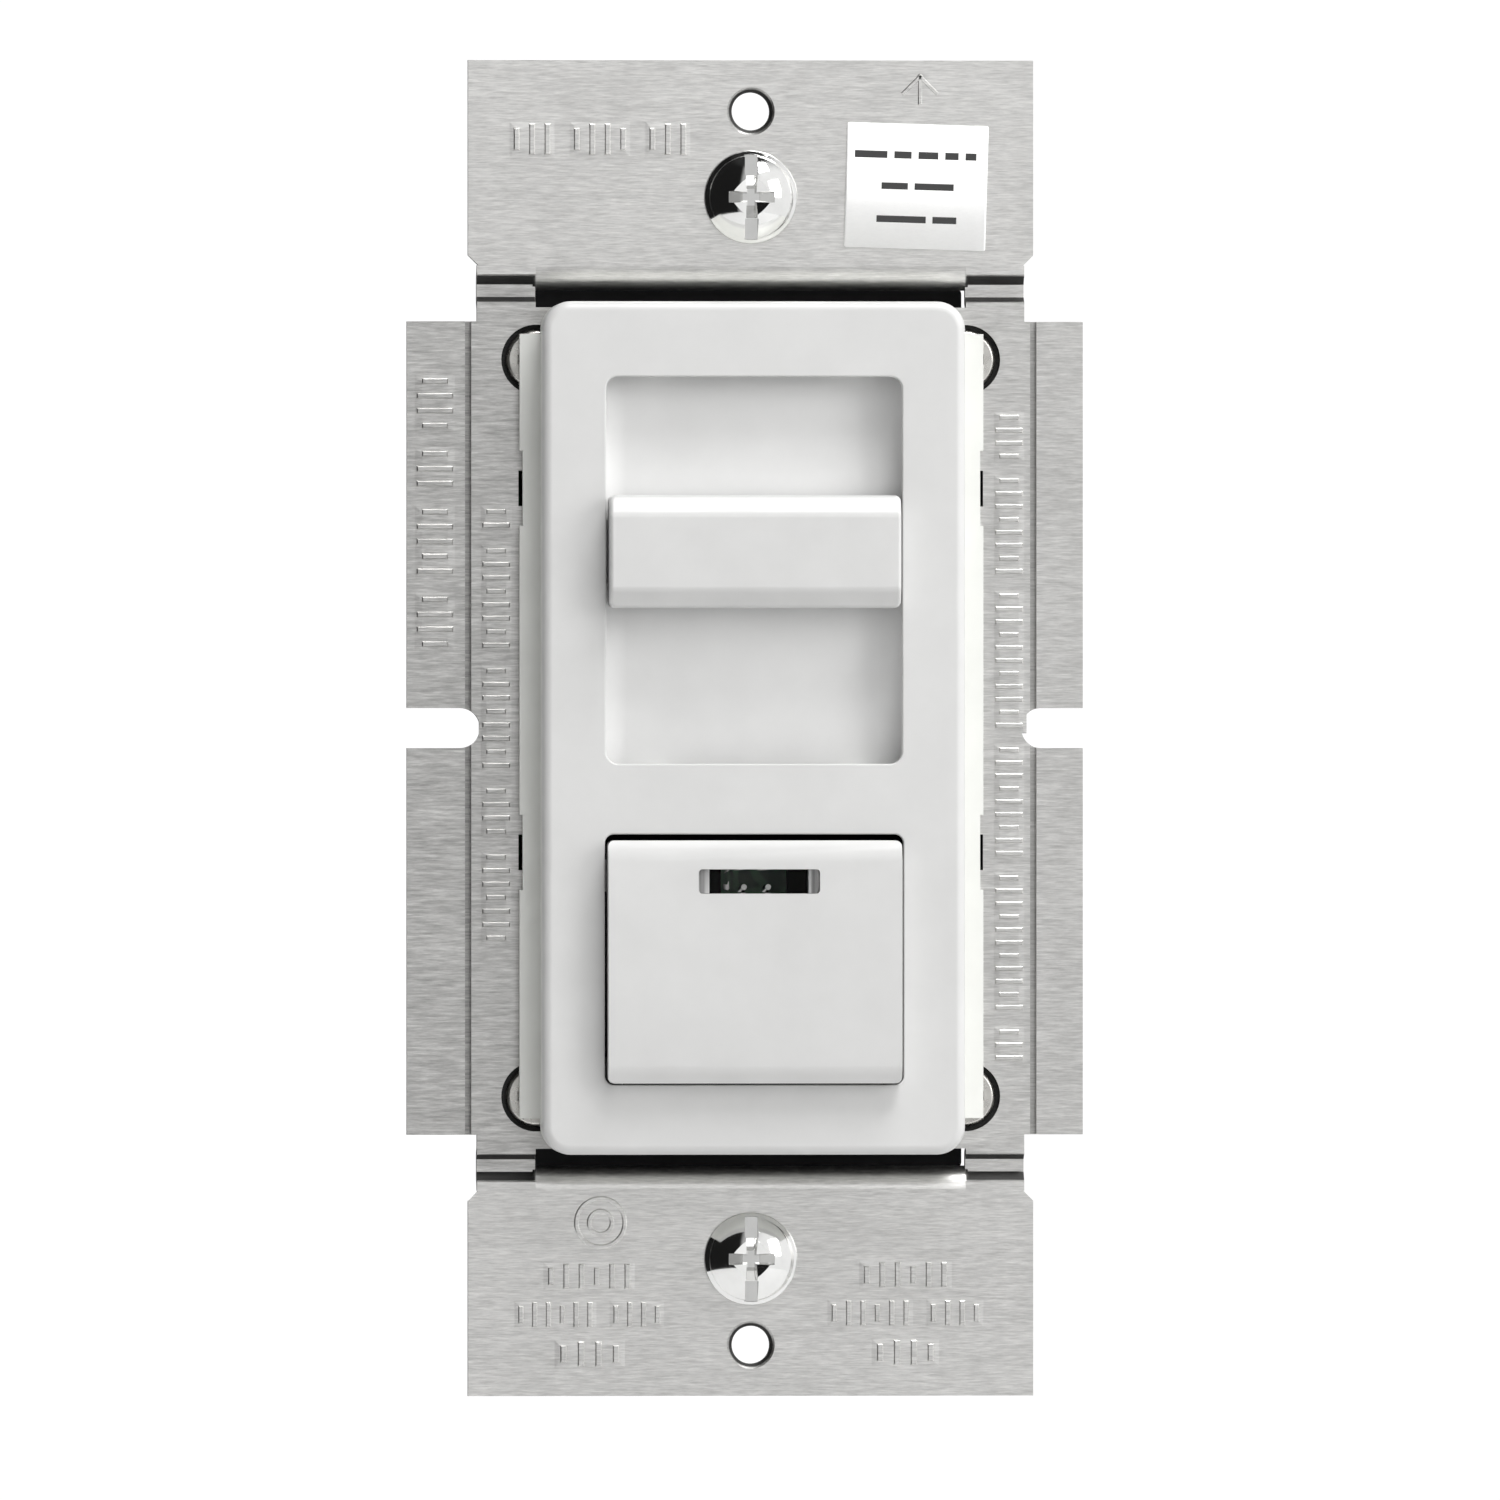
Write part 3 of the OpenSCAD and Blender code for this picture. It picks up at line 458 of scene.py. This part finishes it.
def bright_metal(name, colour, rough):
    """Plated metal with hairline scratches and a slight orange peel."""
    look = Look(name, Metallic=1.0)
    look.colour(look.ramp(look.noise(500.0, 3.0), tones(colour, 0.94, 1.03)))
    look.roughness(look.ranged(look.noise(1500.0, 4.0), *rough))
    look.bump(look.noise(700.0, 3.0), 4.5e-6, 0.4)
    look.bump(look.cells((3000.0, 450.0, 1200.0), "DISTANCE_TO_EDGE"), 1.5e-6, 0.25)
    return look.material


def board(name):
    """Circuit board: solder mask over lighter copper tracks, with a woven ground."""
    look = Look(name, Coat_Weight=0.4, Coat_Roughness=0.15)
    tracks = look.cells((420.0, 30.0, 620.0), "DISTANCE_TO_EDGE")
    mask = look.ramp(tracks, [(0.05, (0.04, 0.17, 0.07)), (0.10, (0.015, 0.08, 0.035))])
    look.colour(look.multiply(mask, look.ramp(look.noise(2600.0, 2.0), greys(0.85, 1.0, 0.4, 0.6))))
    look.roughness(look.ranged(look.noise(800.0), 0.28, 0.42))
    look.bump(tracks, 3e-5, 0.3)
    return look.material


def sintered(name, colour, rough):
    """Ceramic or ferrite: fine grains and small chips."""
    look = Look(name)
    look.colour(look.ramp(look.noise(5000.0, 3.0), tones(colour, 0.75, 1.25)))
    look.roughness(look.ranged(look.noise(600.0), rough - 0.1, rough + 0.1))
    look.bump(look.cells(2000.0), 1.2e-5, 0.4)
    return look.material


def coated(name, colour):
    """Dipped epoxy or shrink sleeve: glossy, with slow waves and specks."""
    look = Look(name, Coat_Weight=0.5, Coat_Roughness=0.1)
    look.colour(look.ramp(look.noise(1200.0, 3.0), tones(colour, 0.88, 1.1)))
    look.roughness(look.ranged(look.noise(300.0), 0.2, 0.35))
    look.bump(look.noise(260.0, 2.0), 6e-5, 0.4)
    return look.material


def paper(name, colour):
    """Label stock: fibres and a soft, uneven surface."""
    look = Look(name, Specular_IOR_Level=0.3)
    fibres = look.noise((2400.0, 2400.0, 6500.0), 5.0, 0.7, 0.6)
    look.colour(look.ramp(fibres, tones(colour, 0.97, 1.01)))
    look.roughness(look.ranged(fibres, 0.68, 0.84))
    look.bump(fibres, 1.5e-6, 0.4)
    return look.material


def stage_white(name):
    """Pale floor, slightly mottled."""
    look = Look(name, Specular_IOR_Level=0.1)
    look.colour(look.ramp(look.noise(6.0, 3.0), tones((0.8, 0.8, 0.8), 0.98, 1.0)))
    look.roughness(look.ranged(look.noise(20.0), 0.8, 0.95))
    return look.material


# One material for each slot of the record: how it is made, its colour and its other values
FINISHES = {
    "strap_metal": (strap_metal, (0.735, 0.73, 0.715), (760.0, 8200.0, 8200.0)),
    "bright_screw": (bright_metal, (0.82, 0.82, 0.81), (0.05, 0.11)),
    "plated_screw": (bright_metal, (0.62, 0.61, 0.58), (0.22, 0.36)),
    "nylon": (plastic, (0.78, 0.77, 0.72), 0.45),
    "label_paper": (paper, (0.95, 0.95, 0.945)),
    "white_plastic": (plastic, (0.56, 0.56, 0.555), 0.36),
    "gray_plastic": (plastic, (0.16, 0.165, 0.17)),
    "black_plastic": (plastic, (0.006, 0.006, 0.007), 0.65, (0.8, 1.3), 0.1),
    "contact_brass": (brushed, (0.78, 0.58, 0.25), (2500.0, 300.0, 2500.0)),
    "plated_steel": (brushed, (0.66, 0.66, 0.64), (1800.0, 1800.0, 120.0)),
    "resistive_board": (sintered, (0.12, 0.065, 0.035), 0.5),
    "tinned_metal": (bright_metal, (0.72, 0.72, 0.71), (0.25, 0.4)),
    "clear_lens": (lens, (0.90, 0.92, 0.92)),
    "lamp_glass": (clear, (0.98, 0.955, 0.94)),
    "cream_plastic": (plastic, (0.66, 0.58, 0.40), 0.5, (0.9, 1.05)),
    "spring_steel": (brushed, (0.55, 0.55, 0.55), (3000.0, 300.0, 3000.0)),
    "green_board": (board,),
    "tan_ceramic": (sintered, (0.62, 0.46, 0.27), 0.4),
    "capacitor_sleeve": (coated, (0.03, 0.045, 0.16)),
    "capacitor_film": (coated, (0.74, 0.52, 0.08)),
    "ferrite": (sintered, (0.07, 0.085, 0.085), 0.6),
    "copper_wire": (brushed, (0.62, 0.24, 0.10), (900.0, 5000.0, 900.0), (0.2, 0.3)),
    "varistor_coat": (coated, (0.05, 0.13, 0.45)),
}
LOOKS = {name: make(name, *values) for name, (make, *values) in FINISHES.items()}
LOOKS["housing_plastic"] = plastic("housing_plastic", (0.014, 0.014, 0.015), 0.5, (0.85, 1.2), 0.15,
                                   grain=3500.0, grain_depth=6e-6)
# Nodes whose finish differs a little from the rest of their slot
NODE_LOOKS = {
    # The flange colour is warmer, and lighter partly as painted light against the bezel's shade
    "face_frame": frame_plastic("frame_white", (0.57, 0.57, 0.565), (0.67, 0.675, 0.65)),
    # The track plate is lighter than the other white parts: painted light that offsets the shade in
    # the window's recess
    "track_plate": plastic("track_lightened_white", (0.76, 0.76, 0.755), 0.5),
    # The lead tips glow faintly: a painted highlight
    "lamp_leads": glowing_lead_metal("glowing_lead_tips", (0.93, 0.93, 0.92)),
}
PRINT = plastic("label_print", (0.03, 0.03, 0.03), 0.5)
add_floor(stage_white("floor"))


# CAD nodes: rounded edges and materials --------------------------------------------

# Edge widths in mm; 0 leaves the edges as they are
EDGE = {
    "rating_label": 0.0, "plunger_spring": 0.0, "lamp_leads": 0.0, "wiper_contacts": 0.0,
    "locator_lamp": 0.0, "board_link_pins": 0.0, "track_plate": 0.08, "inner_cover": 0.12,
    "choke_winding": 0.12, "back_housing": 0.30, "film_capacitor": 0.5,
}
DEFAULT_EDGE = 0.06
MERGE = 2e-6  # points this near to each other become one
FLAT_ANGLE = math.radians(0.6)
EDGE_ANGLE = math.radians(30)

slots = {row["node"]: row["material_slot"] for row in frame["record"]["subparts"]}


def look_of(node):
    return NODE_LOOKS.get(node, LOOKS[slots[node]])


def weld(obj):
    """Joins the points that faces share, and shades the result smoothly."""
    for polygon in obj.data.polygons:
        polygon.use_smooth = True
    if "custom_normal" in obj.data.attributes:
        obj.data.attributes.remove(obj.data.attributes["custom_normal"])
    obj.modifiers.new("weld", "WELD").merge_threshold = MERGE


def weigh_normals(obj, keep_sharp=False):
    """Lets the large faces decide the shading, so that flat faces look flat."""
    weigh = obj.modifiers.new("weigh", "WEIGHTED_NORMAL")
    weigh.weight = 90
    weigh.keep_sharp = keep_sharp


def round_edges(obj, width):
    """Merges the triangles of flat faces and rounds the edges between them."""
    flat = obj.modifiers.new("flat", "DECIMATE")
    flat.decimate_type = "DISSOLVE"
    flat.angle_limit = FLAT_ANGLE
    bevel = obj.modifiers.new("edges", "BEVEL")
    bevel.width = width * MM
    bevel.segments = 2
    bevel.limit_method = "ANGLE"
    bevel.angle_limit = EDGE_ANGLE
    bevel.use_clamp_overlap = True
    weigh_normals(obj, keep_sharp=True)


def split_edges(obj):
    """Leaves the edges of thin sheet sharp: its small steps and holes have no room for rounding."""
    obj.modifiers.new("split", "EDGE_SPLIT").split_angle = EDGE_ANGLE
    weigh_normals(obj)


def smooth_by_angle(obj, degrees=35):
    """Marks edges sharper than the angle, so that smooth shading stops there."""
    shape = bmesh.new()
    shape.from_mesh(obj.data)
    limit = math.radians(degrees)
    sharp = [edge.index for edge in shape.edges
             if len(edge.link_faces) == 2 and edge.calc_face_angle(0.0) > limit]
    shape.free()
    for index in sharp:
        obj.data.edges[index].use_edge_sharp = True


for name, obj in nodes.items():
    obj.data.materials.clear()
    obj.data.materials.append(look_of(name))
    weld(obj)
    width = EDGE.get(name, DEFAULT_EDGE)
    if name == "mounting_strap":
        split_edges(obj)
    elif width > 0:
        round_edges(obj, width)
    else:
        smooth_by_angle(obj)


# Pieces made here ---------------------------------------------------------------------

CORNERS = ((-1, -1), (1, -1), (1, 1), (-1, 1))


def around(sides):
    """The angles of a full turn, in equal steps."""
    return [2 * math.pi * n / sides for n in range(sides)]


def skin(shape, rings, capped=True):
    """Joins each ring of points to the next, and closes both ends. A ring may be one point."""
    for lower, upper in zip(rings, rings[1:]):
        sides = max(len(lower), len(upper))
        for n in range(sides):
            m = (n + 1) % sides
            face = [lower[n % len(lower)], lower[m % len(lower)],
                    upper[m % len(upper)], upper[n % len(upper)]]
            shape.faces.new(list(dict.fromkeys(face)))
    if capped:
        shape.faces.new(rings[0])
        shape.faces.new(rings[-1])


def as_mesh(name, shape):
    """Turns a bmesh into a mesh whose faces point outwards."""
    mesh = bpy.data.meshes.new(name)
    bmesh.ops.recalc_face_normals(shape, faces=shape.faces)
    shape.to_mesh(mesh)
    shape.free()
    return mesh


def new_piece(name, shape, material, body="chassis", smooth=False):
    """Turns a bmesh into a piece that rides on a body."""
    mesh = as_mesh(name, shape)
    mesh.materials.append(material)
    for polygon in mesh.polygons:
        polygon.use_smooth = smooth
    piece = add_object(name, mesh)
    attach(piece, body)
    return piece


# The white mouldings ------------------------------------------------------------------

# Widths of the rounded edges, and then where they are, in mm
RIM_ROUND, OPENING_ROUND, HANDLE_ROUND, OTHER_ROUND, PAD_OTHER_ROUND = 0.75, 0.16, 0.30, 0.08, 0.07
RIM_X, RIM_INSET = 14.2, 2.4  # the frame's outer rim is beyond this x, or this near its ends
KNOB_BACK = -5.5  # the slider shows in front of this y
PAD_X, PAD_TOP, PAD_FOOT = 10.4, -10.6, -25.9  # the pad's outline is beyond these, its window not
PAD_DEPTH, PAD_BACK = 4.0, -4.0  # the pad shows this far behind its front, and in front of this y
FLAT = 0.02  # how far a point of the frame's front may be off it


def rounded_copy(node, name, body, rules):
    """Replaces a CAD node by its own shape with rounded edges.

    A rule is a test of an edge's two ends in mm, a width in mm and a number of segments.
    """
    shape = bmesh.new()
    shape.from_mesh(nodes[node].data)
    bmesh.ops.remove_doubles(shape, verts=shape.verts, dist=MERGE)
    bmesh.ops.dissolve_limit(shape, angle_limit=FLAT_ANGLE, verts=shape.verts, edges=shape.edges)
    for test, width, segments in rules:
        edges = [edge for edge in shape.edges
                 if len(edge.link_faces) == 2 and edge.calc_face_angle(0.0) > math.radians(28)
                 and test(edge.verts[0].co / MM, edge.verts[1].co / MM)]
        bmesh.ops.bevel(shape, geom=edges, offset=width * MM, segments=segments, profile=0.5,
                        affect="EDGES", clamp_overlap=True)
    piece = new_piece(name, shape, look_of(node), body, smooth=True)
    weigh_normals(piece)
    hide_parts(node)


def build_white_parts():
    """The frame, slider and pad, with the soft edges of their mouldings."""
    low, high = (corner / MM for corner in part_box("face_frame"))
    pad_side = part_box("push_pad")[0].y / MM + PAD_DEPTH

    def on_front(point):
        return abs(point.y - low.y) < FLAT

    def outer_rim(a, b):
        return all(on_front(p) and (abs(p.x) > RIM_X or p.z > high.z - RIM_INSET
                                    or p.z < low.z + RIM_INSET) for p in (a, b))

    def opening_rim(a, b):
        return on_front(a) and on_front(b) and not outer_rim(a, b)

    def visible_bar(a, b):
        return min(a.y, b.y) < KNOB_BACK

    def visible_pad(a, b):
        outer = all(abs(p.x) > PAD_X or p.z > PAD_TOP or p.z < PAD_FOOT for p in (a, b))
        return outer and min(a.y, b.y) < pad_side and max(a.y, b.y) < PAD_BACK

    def any_edge(a, b):
        return True

    rounded_copy("face_frame", "front_frame", "chassis",
                 [(outer_rim, RIM_ROUND, 5), (opening_rim, OPENING_ROUND, 3),
                  (any_edge, OTHER_ROUND, 2)])
    rounded_copy("slider_bar", "slider_knob", "slider",
                 [(visible_bar, HANDLE_ROUND, 4), (any_edge, OTHER_ROUND, 2)])
    rounded_copy("push_pad", "on_off_pad", "pad",
                 [(visible_pad, HANDLE_ROUND, 4), (any_edge, PAD_OTHER_ROUND, 2)])


# Stampings and printing, as plain strokes ---------------------------------------------

SUNK = 0.01 * MM  # how far a raised piece reaches into the surface it stands on
STROKE_RISE, BED_RISE, RING_RISE, ARROW_RISE = 0.13 * MM, 0.025 * MM, 0.09 * MM, 0.07 * MM
SLOPE = 0.45  # of half a bar's width
GROUP_GAP, STROKE_WIDTH = 0.9, 0.42  # of the distance between strokes
BED_MARGIN = 0.25  # of that distance, and of a stroke's height
SHORT_STROKE = 0.72  # of a long one
# Rows of strokes on the strap: start and end in X and Z and height, in mm, strokes in each group
STAMPS = (
    ((-19.0, 46.2), (-4.7, 46.2), 2.5, (3, 4, 3)),
    ((-24.8, 27.8), (-24.8, 6.0), 2.9, (4, 3, 5, 4)),
    ((-20.0, 17.5), (-20.0, -17.0), 2.2, (2, 8, 8, 4, 7)),
    ((20.3, 24.9), (20.3, -26.4), 2.2, (4, 8, 11, 9, 11, 3)),
    ((-16.3, -43.0), (-9.1, -43.0), 2.0, (6,)),
    ((-18.6, -46.0), (-6.8, -46.0), 2.0, (6, 4)),
    ((-15.4, -49.1), (-9.9, -49.1), 2.0, (4,)),
    ((8.5, -42.9), (15.8, -42.9), 2.0, (6,)),
    ((6.0, -45.9), (18.3, -45.9), 2.0, (6, 4)),
    ((9.5, -49.0), (14.8, -49.0), 2.0, (4,)),
)
# The arrow: the middles of its stem and of its two slanting bars, and the size of each bar
ARROW_STEM, ARROW_HEAD = (13.3 * MM, 50.0 * MM), ((12.68 * MM, 50.5 * MM), (13.92 * MM, 50.5 * MM))
ARROW_LENGTH, ARROW_WIDTH = 2.2 * MM, 0.35 * MM
RING_CENTRE, RING_RADII, RING_WIDTH = (-11.8 * MM, -38.8 * MM), (1.9 * MM, 0.9 * MM), 0.4 * MM
# Rules on the sticker, in mm: height above its middle, where bars meet, bar height
PRINT_ROWS = (
    (2.45, (-5.1, -2.0, -0.1, 2.0, 3.6, 5.0), 0.75),
    (0.0, (-3.0, -0.4, 3.2), 0.7),
    (-2.6, (-3.4, 1.0, 3.4), 0.7),
)
PRINT_TURN, PRINT_GAP, PRINT_RISE = math.radians(1.7), 0.35, 0.008 * MM


def add_ridge(shape, centre, size, front, rise, turn=0.0):
    """A low bar with sloping sides on a plane that faces -Y; centre and size are in X and Z."""
    half_x, half_z = size[0] / 2, size[1] / 2
    slope = min(half_x, half_z) * SLOPE
    spin = Matrix.Rotation(turn, 4, "Y")
    rings = []
    for inset, y in ((0.0, front + SUNK), (slope, front - rise)):
        rings.append([shape.verts.new(spin @ Vector((a * (half_x - inset), 0, b * (half_z - inset)))
                                      + Vector((centre[0], y, centre[1]))) for a, b in CORNERS])
    skin(shape, rings)


def add_ring(shape, centre, radius, width, front, rise):
    """A low raised ring with sloping flanks."""
    rings = [[shape.verts.new((centre[0] + r * math.cos(a), front + SUNK - height,
                               centre[1] + r * math.sin(a))) for a in around(48)]
             for r, height in ((radius - width / 2, 0.0), (radius - width / 4, rise),
                               (radius + width / 4, rise), (radius + width / 2, 0.0))]
    skin(shape, rings + rings[:1], capped=False)


def tick_row(shape, start, end, height, groups, front):
    """Groups of short strokes from start to end, each on a faint raised bed, with no lettering."""
    start, end, height = Vector(start) * MM, Vector(end) * MM, height * MM
    run = (end - start).normalized()
    upright = abs(run.y) > abs(run.x)
    pitch = (end - start).length / (sum(groups) + GROUP_GAP * (len(groups) - 1))

    def add_bar(at, length, across, rise):
        size = (across, length) if upright else (length, across)
        add_ridge(shape, start + run * at * pitch, size, front, rise)

    at = 0.0
    for count in groups:
        add_bar(at + count / 2, (count + BED_MARGIN) * pitch, height * (1 + BED_MARGIN), BED_RISE)
        for n in range(count):
            share = SHORT_STROKE if n % 3 == 0 else 1.0
            add_bar(at + n + 0.5, pitch * STROKE_WIDTH, height * share, STROKE_RISE)
        at += count + GROUP_GAP


def build_stamps():
    """Generic strokes, an arrow and two rings where the strap is stamped."""
    shape = bmesh.new()
    for start, end, height, groups in STAMPS:
        tick_row(shape, start, end, height, groups, strap_front)
    for place, turn in zip(ARROW_HEAD, (-45, 45)):
        add_ridge(shape, place, (ARROW_LENGTH, ARROW_WIDTH), strap_front, ARROW_RISE,
                  math.radians(turn))
    add_ridge(shape, ARROW_STEM, (ARROW_WIDTH, ARROW_LENGTH), strap_front, ARROW_RISE)
    for radius in RING_RADII:
        add_ring(shape, RING_CENTRE, radius, RING_WIDTH, strap_front, RING_RISE)
    new_piece("strap_stamps", shape, LOOKS["strap_metal"])


def build_label_print():
    """Plain rules on the sticker in place of its printing."""
    low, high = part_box("rating_label")
    centre = (low + high) / 2
    shape = bmesh.new()
    for row, edges, height in PRINT_ROWS:
        for left, right in zip(edges, edges[1:]):
            middle = (left + right) / 2
            place = (centre.x + middle * MM,
                     centre.z + (row - middle * math.tan(PRINT_TURN)) * MM)
            add_ridge(shape, place, ((right - left - PRINT_GAP) * MM, height * MM), low.y,
                      PRINT_RISE, PRINT_TURN)
    new_piece("label_print", shape, PRINT)


# Mounting screws with real recesses and threads, in mm ---------------------------------

SCREW_Z = 41.65
HEAD_R, HEAD_H, SEAT = 3.65, 1.9, -1.35
HEAD_TOP = SEAT - HEAD_H
DOME_STEPS, HEAD_SIDES = 14, 72
THREAD_R, ROOT_R, PITCH, THREAD_FROM, TIP = 1.75, 1.38, 0.794, 0.7, 20.0
THREAD_SIDES, ROWS_PER_TURN = 28, 8
LEAD_IN, LEAD_OUT = 0.5, 0.7  # lengths over which the thread rises and falls away
IN_HEAD = 0.02  # how far the shank reaches into the head
CUTTER_LIFT = 0.2  # how far the cutters start above the head
# Cutters for the recess: top and bottom rectangle in X and Z, depth below the head's top, turn
SLOT, SLOT_Z = ((1.12, 3.0), (0.98, 3.0), 1.5), 3.2
CROSS = (
    ((4.7, 1.05), (1.3, 0.55), 1.65, 0.0),
    ((1.05, 4.2), (0.55, 1.3), 1.65, 0.0),
    ((3.9, 3.9), (0.3, 0.3), 1.1, math.radians(45)),
)


def taper(top, bottom, depth, turn=0.0, z=0.0):
    """A cutter: a four-sided frustum that goes into the head along Y."""
    shape = bmesh.new()
    spin = Matrix.Rotation(turn, 4, "Y")
    skin(shape, [[shape.verts.new(spin @ Vector((a * w / 2 * MM, y * MM, (z + b * h / 2) * MM)))
                  for a, b in CORNERS]
                 for (w, h), y in ((top, HEAD_TOP - CUTTER_LIFT), (bottom, HEAD_TOP + depth))])
    return add_object("cutter", as_mesh("cutter", shape))


def carve(mesh, cutters):
    """Cuts the cutters out of a mesh and returns the result."""
    block = add_object("block", mesh)
    for cutter in cutters:
        cut = block.modifiers.new("cut", "BOOLEAN")
        cut.operation = "DIFFERENCE"
        cut.solver = "EXACT"
        cut.object = cutter
    graph = bpy.context.evaluated_depsgraph_get()
    result = bpy.data.meshes.new_from_object(block.evaluated_get(graph))
    for spare in [block] + cutters:
        bpy.data.objects.remove(spare)
    return result


def screw_head():
    """The domed head with its slot and cross recess."""
    dome_r = (HEAD_R ** 2 + HEAD_H ** 2) / (2 * HEAD_H)
    edge = math.asin(HEAD_R / dome_r)
    profile = [(0.0, HEAD_TOP)]
    for n in range(1, DOME_STEPS):
        angle = edge * n / DOME_STEPS
        profile.append((dome_r * math.sin(angle), HEAD_TOP + dome_r * (1 - math.cos(angle))))
    # The rim, a little rounded, and the flat underside
    profile += [(HEAD_R - 0.05, SEAT - 0.16), (HEAD_R, SEAT - 0.08), (HEAD_R - 0.06, SEAT),
                (0.0, SEAT)]
    shape = bmesh.new()
    rings = [[shape.verts.new((radius * math.cos(a) * MM, y * MM, radius * math.sin(a) * MM))
              for a in (around(HEAD_SIDES) if radius > 0 else [0.0])] for radius, y in profile]
    skin(shape, rings, capped=False)
    cutters = [taper(*SLOT, z=side * SLOT_Z) for side in (-1, 1)]
    cutters += [taper(*sizes) for sizes in CROSS]
    return carve(as_mesh("head", shape), cutters)


def screw_shank(shape):
    """The undercut, the helical thread and the chamfered tip."""
    rows = int((TIP - THREAD_FROM) / PITCH * ROWS_PER_TURN)

    def ring(y, radii):
        return [shape.verts.new((radius * math.cos(a) * MM, y * MM, radius * math.sin(a) * MM))
                for a, radius in zip(around(THREAD_SIDES), radii)]

    def crest(y, n):
        """How far the thread stands out: 0 at the root, 1 at the crest."""
        phase = (y / PITCH - n / THREAD_SIDES) % 1.0
        return min(1.0, max(0.0, 1.8 - abs(phase - 0.5) * 4.0))

    rings = [ring(SEAT - IN_HEAD, [ROOT_R] * THREAD_SIDES)]
    for row in range(rows + 1):
        y = THREAD_FROM + (TIP - THREAD_FROM) * row / rows
        fade = min(1.0, (y - THREAD_FROM) / LEAD_IN + 0.05, (TIP - y) / LEAD_OUT + 0.1)
        rings.append(ring(y, [ROOT_R + (THREAD_R - ROOT_R) * crest(y, n) * fade
                              for n in range(THREAD_SIDES)]))
    skin(shape, rings)


def build_screws():
    """Both mounting screws as one piece."""
    head = screw_head()
    shape = bmesh.new()
    for side in (-1, 1):
        first = len(shape.verts)
        shape.from_mesh(head)
        screw_shank(shape)
        shape.verts.ensure_lookup_table()
        bmesh.ops.translate(shape, verts=shape.verts[first:], vec=(0, 0, side * SCREW_Z * MM))
    piece = new_piece("ear_screws", shape, LOOKS["bright_screw"], smooth=True)
    smooth_by_angle(piece, 28)
    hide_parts("mounting_screws")


# The switch's return spring ---------------------------------------------------------------

WIRE_R = 0.28 * MM
WIRE_INSET = 0.30 * MM  # from the side of the CAD spring's box to the middle of the wire
TURNS, CLOSED_TURNS, ROWS_PER_COIL, WIRE_SIDES = 6.0, 0.75, 28, 10
CLOSED_PITCH = 2.05 * WIRE_R


def build_spring():
    """A coil spring with closed ends."""
    low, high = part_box("plunger_spring")
    centre = (low + high) / 2
    reach = (high.x - low.x) / 2 - WIRE_INSET
    first, last = low.y + WIRE_R, high.y - WIRE_R
    open_pitch = (last - first - 2 * CLOSED_TURNS * CLOSED_PITCH) / (TURNS - 2 * CLOSED_TURNS)
    shape = bmesh.new()
    rings = []
    for row in range(int(TURNS * ROWS_PER_COIL) + 1):
        turn = row / ROWS_PER_COIL
        closed = min(turn, CLOSED_TURNS) + max(0.0, turn - TURNS + CLOSED_TURNS)
        y = first + CLOSED_PITCH * closed + open_pitch * (turn - closed)
        angle = 2 * math.pi * turn
        rings.append([shape.verts.new((
            centre.x + (reach + WIRE_R * math.cos(a)) * math.cos(angle),
            y + WIRE_R * math.sin(a),
            centre.z + (reach + WIRE_R * math.cos(a)) * math.sin(angle)))
            for a in around(WIRE_SIDES)])
    skin(shape, rings)
    piece = new_piece("return_spring", shape, LOOKS["spring_steel"], smooth=True)
    smooth_by_angle(piece, 50)
    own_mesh(piece)
    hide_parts("plunger_spring")


build_white_parts()
build_spring()
build_stamps()
build_label_print()
build_screws()
